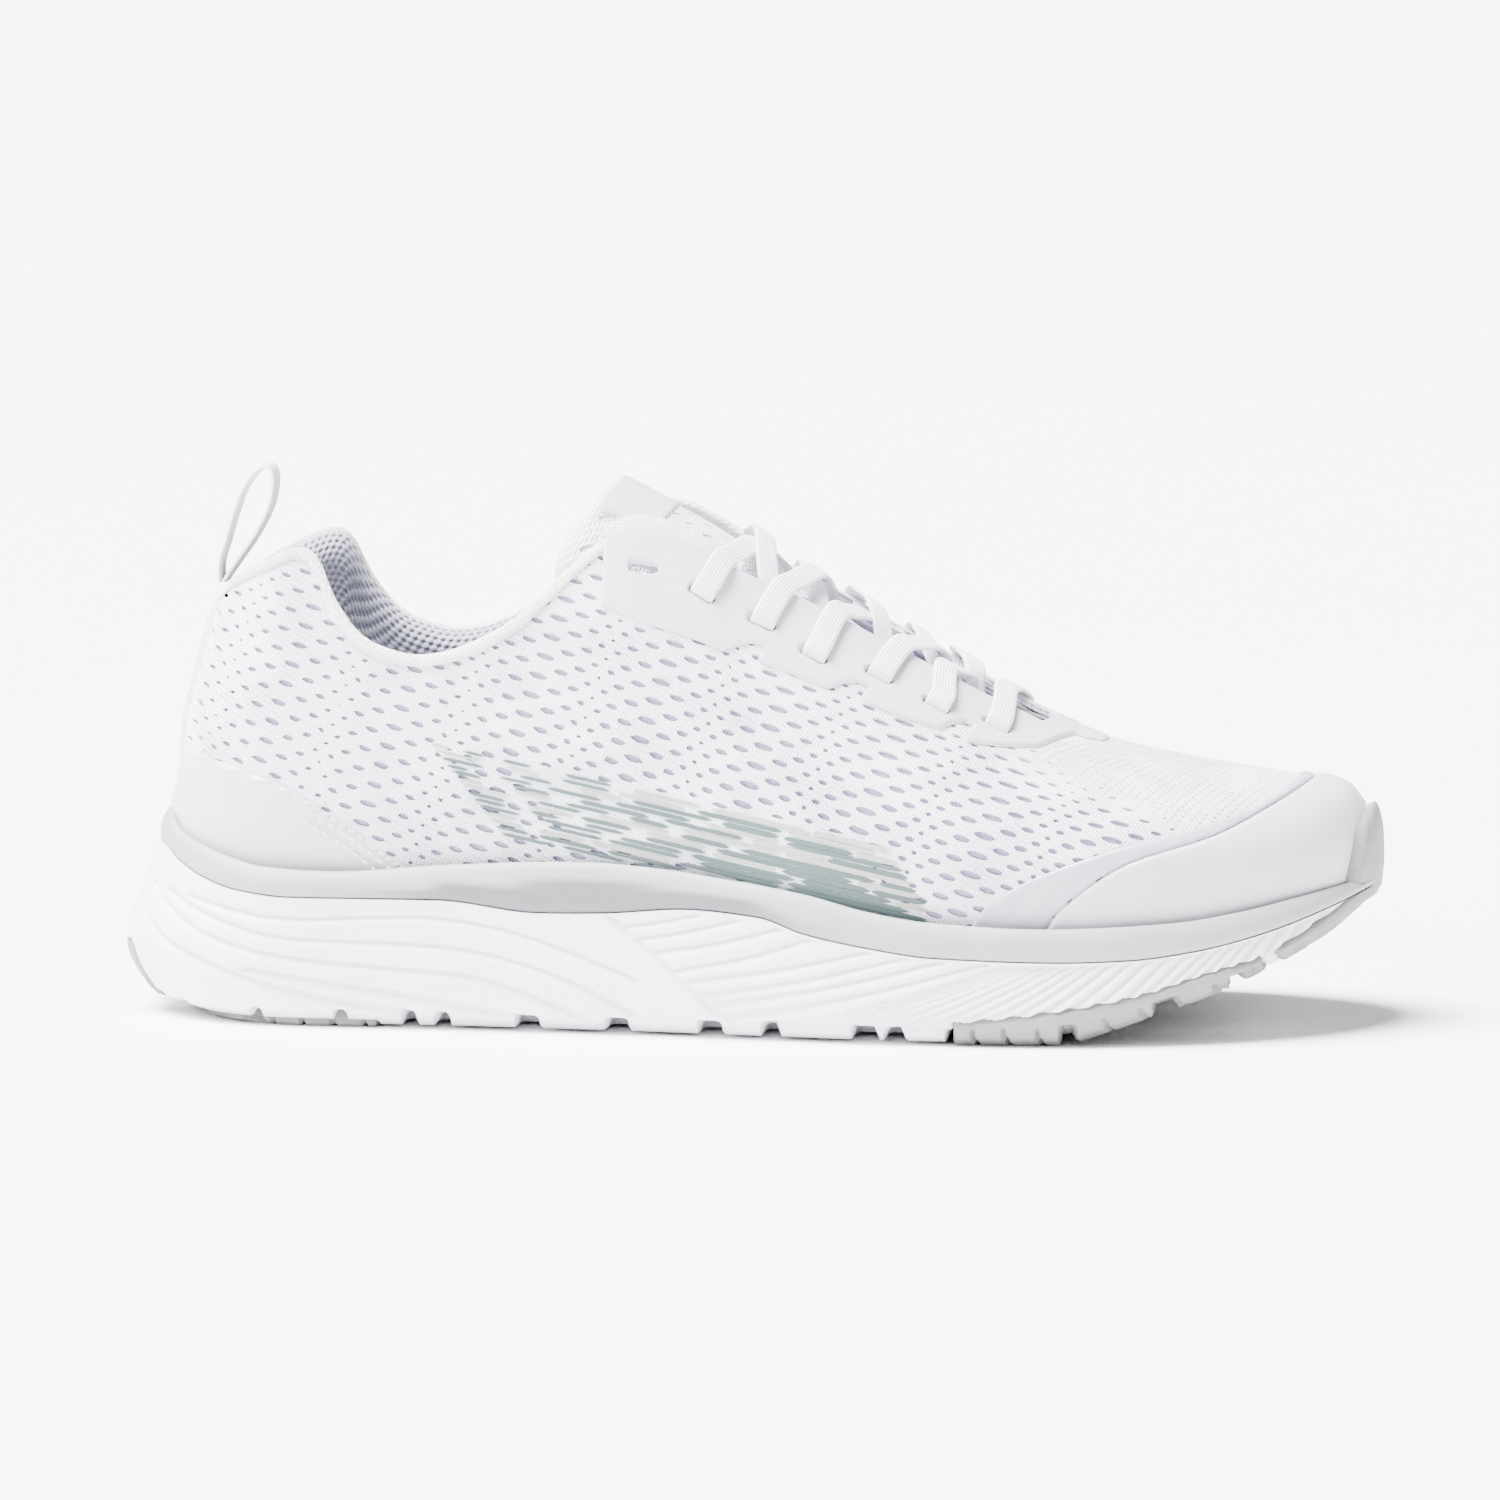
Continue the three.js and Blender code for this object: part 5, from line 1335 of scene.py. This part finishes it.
def midsole_rim():
    """Grey band above the parting line, round the whole foot."""
    half = sole_stations(1.0)
    around = np.concatenate([half, half[::-1][1:-1]])
    side = np.where(np.arange(len(around)) < len(half), -1.0, 1.0)
    rows, uvs = [], []
    for spread, share in RIM_SECTION:
        heel = 8.4 + 0.5 * share + (RIM_SPREAD - spread) * 0.75
        toe = 298 - (RIM_SPREAD - spread) * 0.85
        x, opening = station(around, heel, toe)
        y = centre_line(x) + side * (half_width(x) + spread) * opening
        z = parting(x) + 0.3 + (rim_top(x) - parting(x) - 0.3) * share
        rows.append(np.stack([x, y, z], 1))
        uvs.append(np.stack([np.arange(len(x)), np.full(len(x), share * 10)], 1))
    rows, uvs = np.array(rows), np.array(uvs)
    triangles = grid_triangles(*rows.shape[:2], wrap_rows=True, wrap_columns=True)
    return welded(*grid_shape(rows, uvs, triangles[:, ::-1]))


def rim_painted_shade(points):
    """One on the rim's lower band, where shade is painted darker; it fades out at both ends."""
    x, _, z = columns_of(points)
    share = (z - parting(x)) / (rim_top(x) - parting(x))
    start = 0.62 - 0.25 * ramp(x, 120, 175) - 0.3 * (1 - ramp(x, 60, 110))
    zone = ramp(x, 48, 84) * (1 - ramp(x, 150, 182))
    return (1 - ramp(share, start - 0.03, start + 0.03)) * zone


# ---------- printed dashes on the side ----------

DASH_LIFT = 0.35
DASH_TAPER = 1.6  # length over which each end of a dash narrows


def dash(x, z, length, height, side):
    """One thin strip of film that follows the side of the upper."""
    t = np.linspace(0, 1, 14)
    xs, zs = x + length * t, z + DASH_SLOPE * length * t
    half = height / 2 * np.clip(np.minimum(t, 1 - t) * length / DASH_TAPER + 0.12, 0, 1)
    section = ((-1, DASH_LIFT - 0.08), (0, DASH_LIFT), (1, DASH_LIFT - 0.08), (1, 0.05),
               (-1, 0.05))  # share of the half height, and lift
    rows = np.array([[on_last(px, pz + a * h, side, lift)[0] for px, pz, h in zip(xs, zs, half)]
                     for a, lift in section])
    triangles = grid_triangles(*rows.shape[:2], wrap_rows=True)
    return grid_shape(rows, rows[..., [0, 2]], triangles[:, ::-1] if side > 0 else triangles)


def side_dashes(side):
    """A field of short parallel strips that thins out towards the heel: the green, the grey."""
    random = np.random.default_rng(11)
    green, grey = [], []
    for row in range(DASH_ROWS):
        x = DASH_START + row * 1.3
        while x < DASH_END + row:
            dense = ramp(x, 80, 160)
            length = random.uniform(4, 11) + 26 * dense * random.uniform(0.3, 1)
            length = min(length, DASH_END + 8 + row - x)
            if length > 3:
                z = DASH_TOP - row * DASH_PITCH + DASH_SLOPE * (x - DASH_START)
                z += random.uniform(-0.15, 0.15)
                strip = dash(x, z, length, random.uniform(0.5, 0.8) + 0.5 * dense, side)
                (grey if random.uniform() < 0.34 else green).append(strip)
            x += length + random.uniform(0.4, 1.4) + (1 - dense) * random.uniform(1, 8)
    return join(*green), join(*grey)


# ---------- insole ----------

INSOLE_CLEARANCE = 8.2  # from the last's ends to the insole's
INSOLE_LIFT, INSOLE_THICKNESS = 6.9, 3.6


def insole():
    """Cupped sock liner: a dished top, turned up along its edge."""
    us = even_stations(1.2, lambda u: last(u, -0.9))
    u, q = np.meshgrid(us, np.linspace(-1, 1, 70))
    x, opening = station(u, HEEL_END + INSOLE_CLEARANCE, TOE_END - INSOLE_CLEARANCE)
    across = (half_width(x) - 12.2) * opening
    cup = 2.2 * ramp(np.abs(q), 0.8, 1.0) * (1 - ramp(x, 150, 230))
    top = np.stack([x, centre_line(x) + q * across, footbed(x) + INSOLE_LIFT + cup], -1)
    top = top.reshape(-1, 3)
    return closed_sheet(top, top - [0, 0, INSOLE_THICKNESS], grid_triangles(*u.shape), top[:, :2])


# ---------- stitches ----------

STITCH_LENGTH, STITCH_GAP = 1.7, 1.1
THREAD_WIDTH, THREAD_THICKNESS = 0.6, 0.4


def stitches(run, side, lift):
    """Short thread humps along a side-view run."""
    points = spaced(run, STITCH_LENGTH + STITCH_GAP)
    strands = []
    for (x, z), along in zip(points[:-1], unit(np.diff(points, axis=0)) * STITCH_LENGTH):
        t = np.linspace(0, 1, 7)
        arch = lift + 0.28 * np.sin(math.pi * t) - 0.1
        line = np.array([on_last(x + along[0] * k, z + along[1] * k, side, h)[0]
                         for k, h in zip(t, arch)])
        flats = np.array([on_last(x, z, side, 0)[1]] * len(line))
        strands.append(ribbon(line, flats, THREAD_WIDTH, THREAD_THICKNESS, 1))
    return join(*strands)


def heel_stitches(side):
    """Two rows of thread inside the heel panel's slanting edge."""
    run = smooth(HEEL_EDGE[1:8], 40)
    run = run[run[:, 0] > HEEL_JOIN]
    return join(*[stitches(shifted(run, inside), side, 1.2) for inside in (2.0, 4.4)])


# ---------- all pieces ----------

def backing_region(points):
    field = np.maximum(mouth_field(points, BINDING_WIDTH / 2), above_footbed(points))
    return with_slots(points, field)


def both_sides(build):
    """Welded shape of the two sides of a piece."""
    return welded(*join(*[build(side) for _, side in SIDES]))


def add_sole():
    add_piece("midsole", midsole(), eva_white, sharp=50)
    add_piece("midsole_rim", midsole_rim(), rim_grey, sharp=60, tone=rim_painted_shade)
    for name, outline in PADS.items():
        pad = pad_shape(outline)
        if name == "outsole_toe":
            pad = join(pad, bumper_shape())
        add_piece(name, pad, rubber_grey, sharp=35)


def add_upper():
    add_piece("upper_mesh_lateral", upper_mesh(-1), mesh_white,
              replaces="upper_mesh", sharp=60, tone=toe_zone)
    add_piece("upper_mesh_medial", upper_mesh(1), mesh_white, sharp=60,
              tone=toe_zone)
    add_piece("mesh_backing", sheet_on_last(1.6, backing_region, -1.0, -1.25, 0.3), lining_grey)
    add_piece("toe_cap", sheet_on_last(1.0, toe_cap_area, 1.15, 0.1, 1.1), film_white)
    add_piece("toe_film", sheet_on_last(1.0, toe_film_area, 0.7, 0.1, 0.8), film_clear)
    add_piece("eyestay", sheet_on_last(0.6, eyestay_area, 1.1, 0.1, 0.6, 400), film_white)
    add_piece("heel_overlay", sheet_on_last(1.0, heel_panel_area, 1.1, 0.1, 1.0), film_white)
    add_piece("backstay_tape", sheet_on_last(0.7, backstay_area, 1.75, 0.05, 0.9, 300),
              loop_white)
    add_piece("collar_binding", both_sides(collar_binding), binding_white, sharp=60)
    add_piece("collar_lining", both_sides(collar_lining), collar_grey, sharp=80)
    add_piece("collar_foam", join(collar_foam(-1), collar_foam(1)), foam_plain)


def add_tongue():
    face = add_piece("tongue_face", tongue_skin(True, holes=True), mesh_white,
                     body="tongue")
    add_piece("tongue_foam", tongue_skin(True, inset=1.2), foam_plain,
              body="tongue")
    add_piece("tongue_lining", tongue_skin(False), collar_grey, body="tongue")
    add_piece("tongue_tab", tongue_tab(), film_white, body="tongue")


def add_bands():
    lace = ribbon(*lace_route(), LACE_WIDTH, LACE_THICKNESS, 12)
    add_piece("lace", lace, lace_white, sharp=70)
    add_piece("pull_loop", pull_loop(), loop_white, body="heel_loop", sharp=70)
    for name, side in SIDES:
        add_piece("throat_band_" + name, throat_band(side), binding_white, sharp=70)


def add_side_details():
    for name, side in SIDES:
        green, grey = side_dashes(side)
        add_piece(f"side_dashes_{name}_green", green, dash_green)
        add_piece(f"side_dashes_{name}_grey", grey, dash_grey)
    for name, side in SIDES:
        add_piece("heel_stitches_" + name, heel_stitches(side), loop_white)


CARRIED = {"strobel_board": board_cloth, "vamp_lining": lining_grey,
           "heel_counter": stiffener, "toe_puff": stiffener, "eyestay_backing": stiffener,
           "aglet_lateral": aglet_clear, "aglet_medial": aglet_clear}


def dress_carried_nodes():
    """Materials of the CAD pieces that stay as they are."""
    for name, material in CARRIED.items():
        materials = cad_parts[name].data.materials
        materials.clear()
        materials.append(material)


add_sole()
add_upper()
add_tongue()
add_bands()
add_piece("insole", insole(), insole_cloth)
add_side_details()
dress_carried_nodes()


# ---------- floor, light and camera ----------

FLOOR_SIZE = 6.0


def linked(name, data):
    """A new object with its data, in the scene."""
    made = bpy.data.objects.new(name, data)
    bpy.context.scene.collection.objects.link(made)
    return made


def add_floor():
    mesh = bpy.data.meshes.new("floor")
    corners = [(-1, -1), (1, -1), (1, 1), (-1, 1)]
    mesh.from_pydata([(x * FLOOR_SIZE, y * FLOOR_SIZE, 0) for x, y in corners], [], [(0, 1, 2, 3)])
    mesh.materials.append(moulded("floor white", (0.93, 0.93, 0.93), (0.92, 0.92, 0.92), 0.7, 40,
                                  0.01, patch=900).material)
    linked("floor", mesh)


def add_lamp(name, kind, energy, shines, place=(0, 0, 0), **settings):
    """A light that shines along a direction."""
    lamp = bpy.data.lights.new(name, kind)
    lamp.energy = energy
    for key, value in settings.items():
        setattr(lamp, key, value)
    light = linked(name, lamp)
    light.location = place
    light.rotation_euler = point_along(shines)


def point_along(direction):
    """Rotation that turns an object's -Z along a direction, its Y as far up as it can be."""
    return Vector(direction).to_track_quat("-Z", "Y").to_euler()


def add_world(brightness):
    world = bpy.data.worlds.new("studio")
    world.use_nodes = True
    background = world.node_tree.nodes["Background"].inputs
    background["Color"].default_value = (1, 1, 1, 1)
    background["Strength"].default_value = brightness
    bpy.context.scene.world = world


VIEW_AZIMUTH, VIEW_ELEVATION = math.radians(7), math.radians(6.5)
VIEW_TARGET = to_scene([148.9, 0, 62.6])
VIEW_DISTANCE = 3.0
VIEW_WIDTH = 0.35475  # width of the picture at the target
SENSOR = 36.0


def add_camera():
    data = bpy.data.cameras.new("camera")
    data.sensor_width = SENSOR
    data.lens = SENSOR * VIEW_DISTANCE / VIEW_WIDTH
    data.clip_end = 50
    back = np.array([math.sin(VIEW_AZIMUTH) * math.cos(VIEW_ELEVATION),
                     -math.cos(VIEW_AZIMUTH) * math.cos(VIEW_ELEVATION),
                     math.sin(VIEW_ELEVATION)])
    camera = linked("camera", data)
    camera.location = VIEW_TARGET + back * VIEW_DISTANCE
    camera.rotation_euler = point_along(-back)
    bpy.context.scene.camera = camera


WORLD_STRENGTH = 0.8
SUN_STRENGTH, SUN_SPREAD = 30, math.radians(40)  # wide enough for soft shadows
SUN_SHINES = (0.4, 0.12, -1)
KEY_POWER, KEY_SIZE = 45, 0.8
KEY_PLACE = Vector((-1.6, -1.3, 0.8))
KEY_TARGET = Vector((0, 0, 0.05))

add_floor()
add_world(WORLD_STRENGTH)
add_lamp("sun", "SUN", SUN_STRENGTH, SUN_SHINES, angle=SUN_SPREAD)
add_lamp("key", "AREA", KEY_POWER, KEY_TARGET - KEY_PLACE, KEY_PLACE, shape="DISK",
         size=KEY_SIZE)
add_camera()
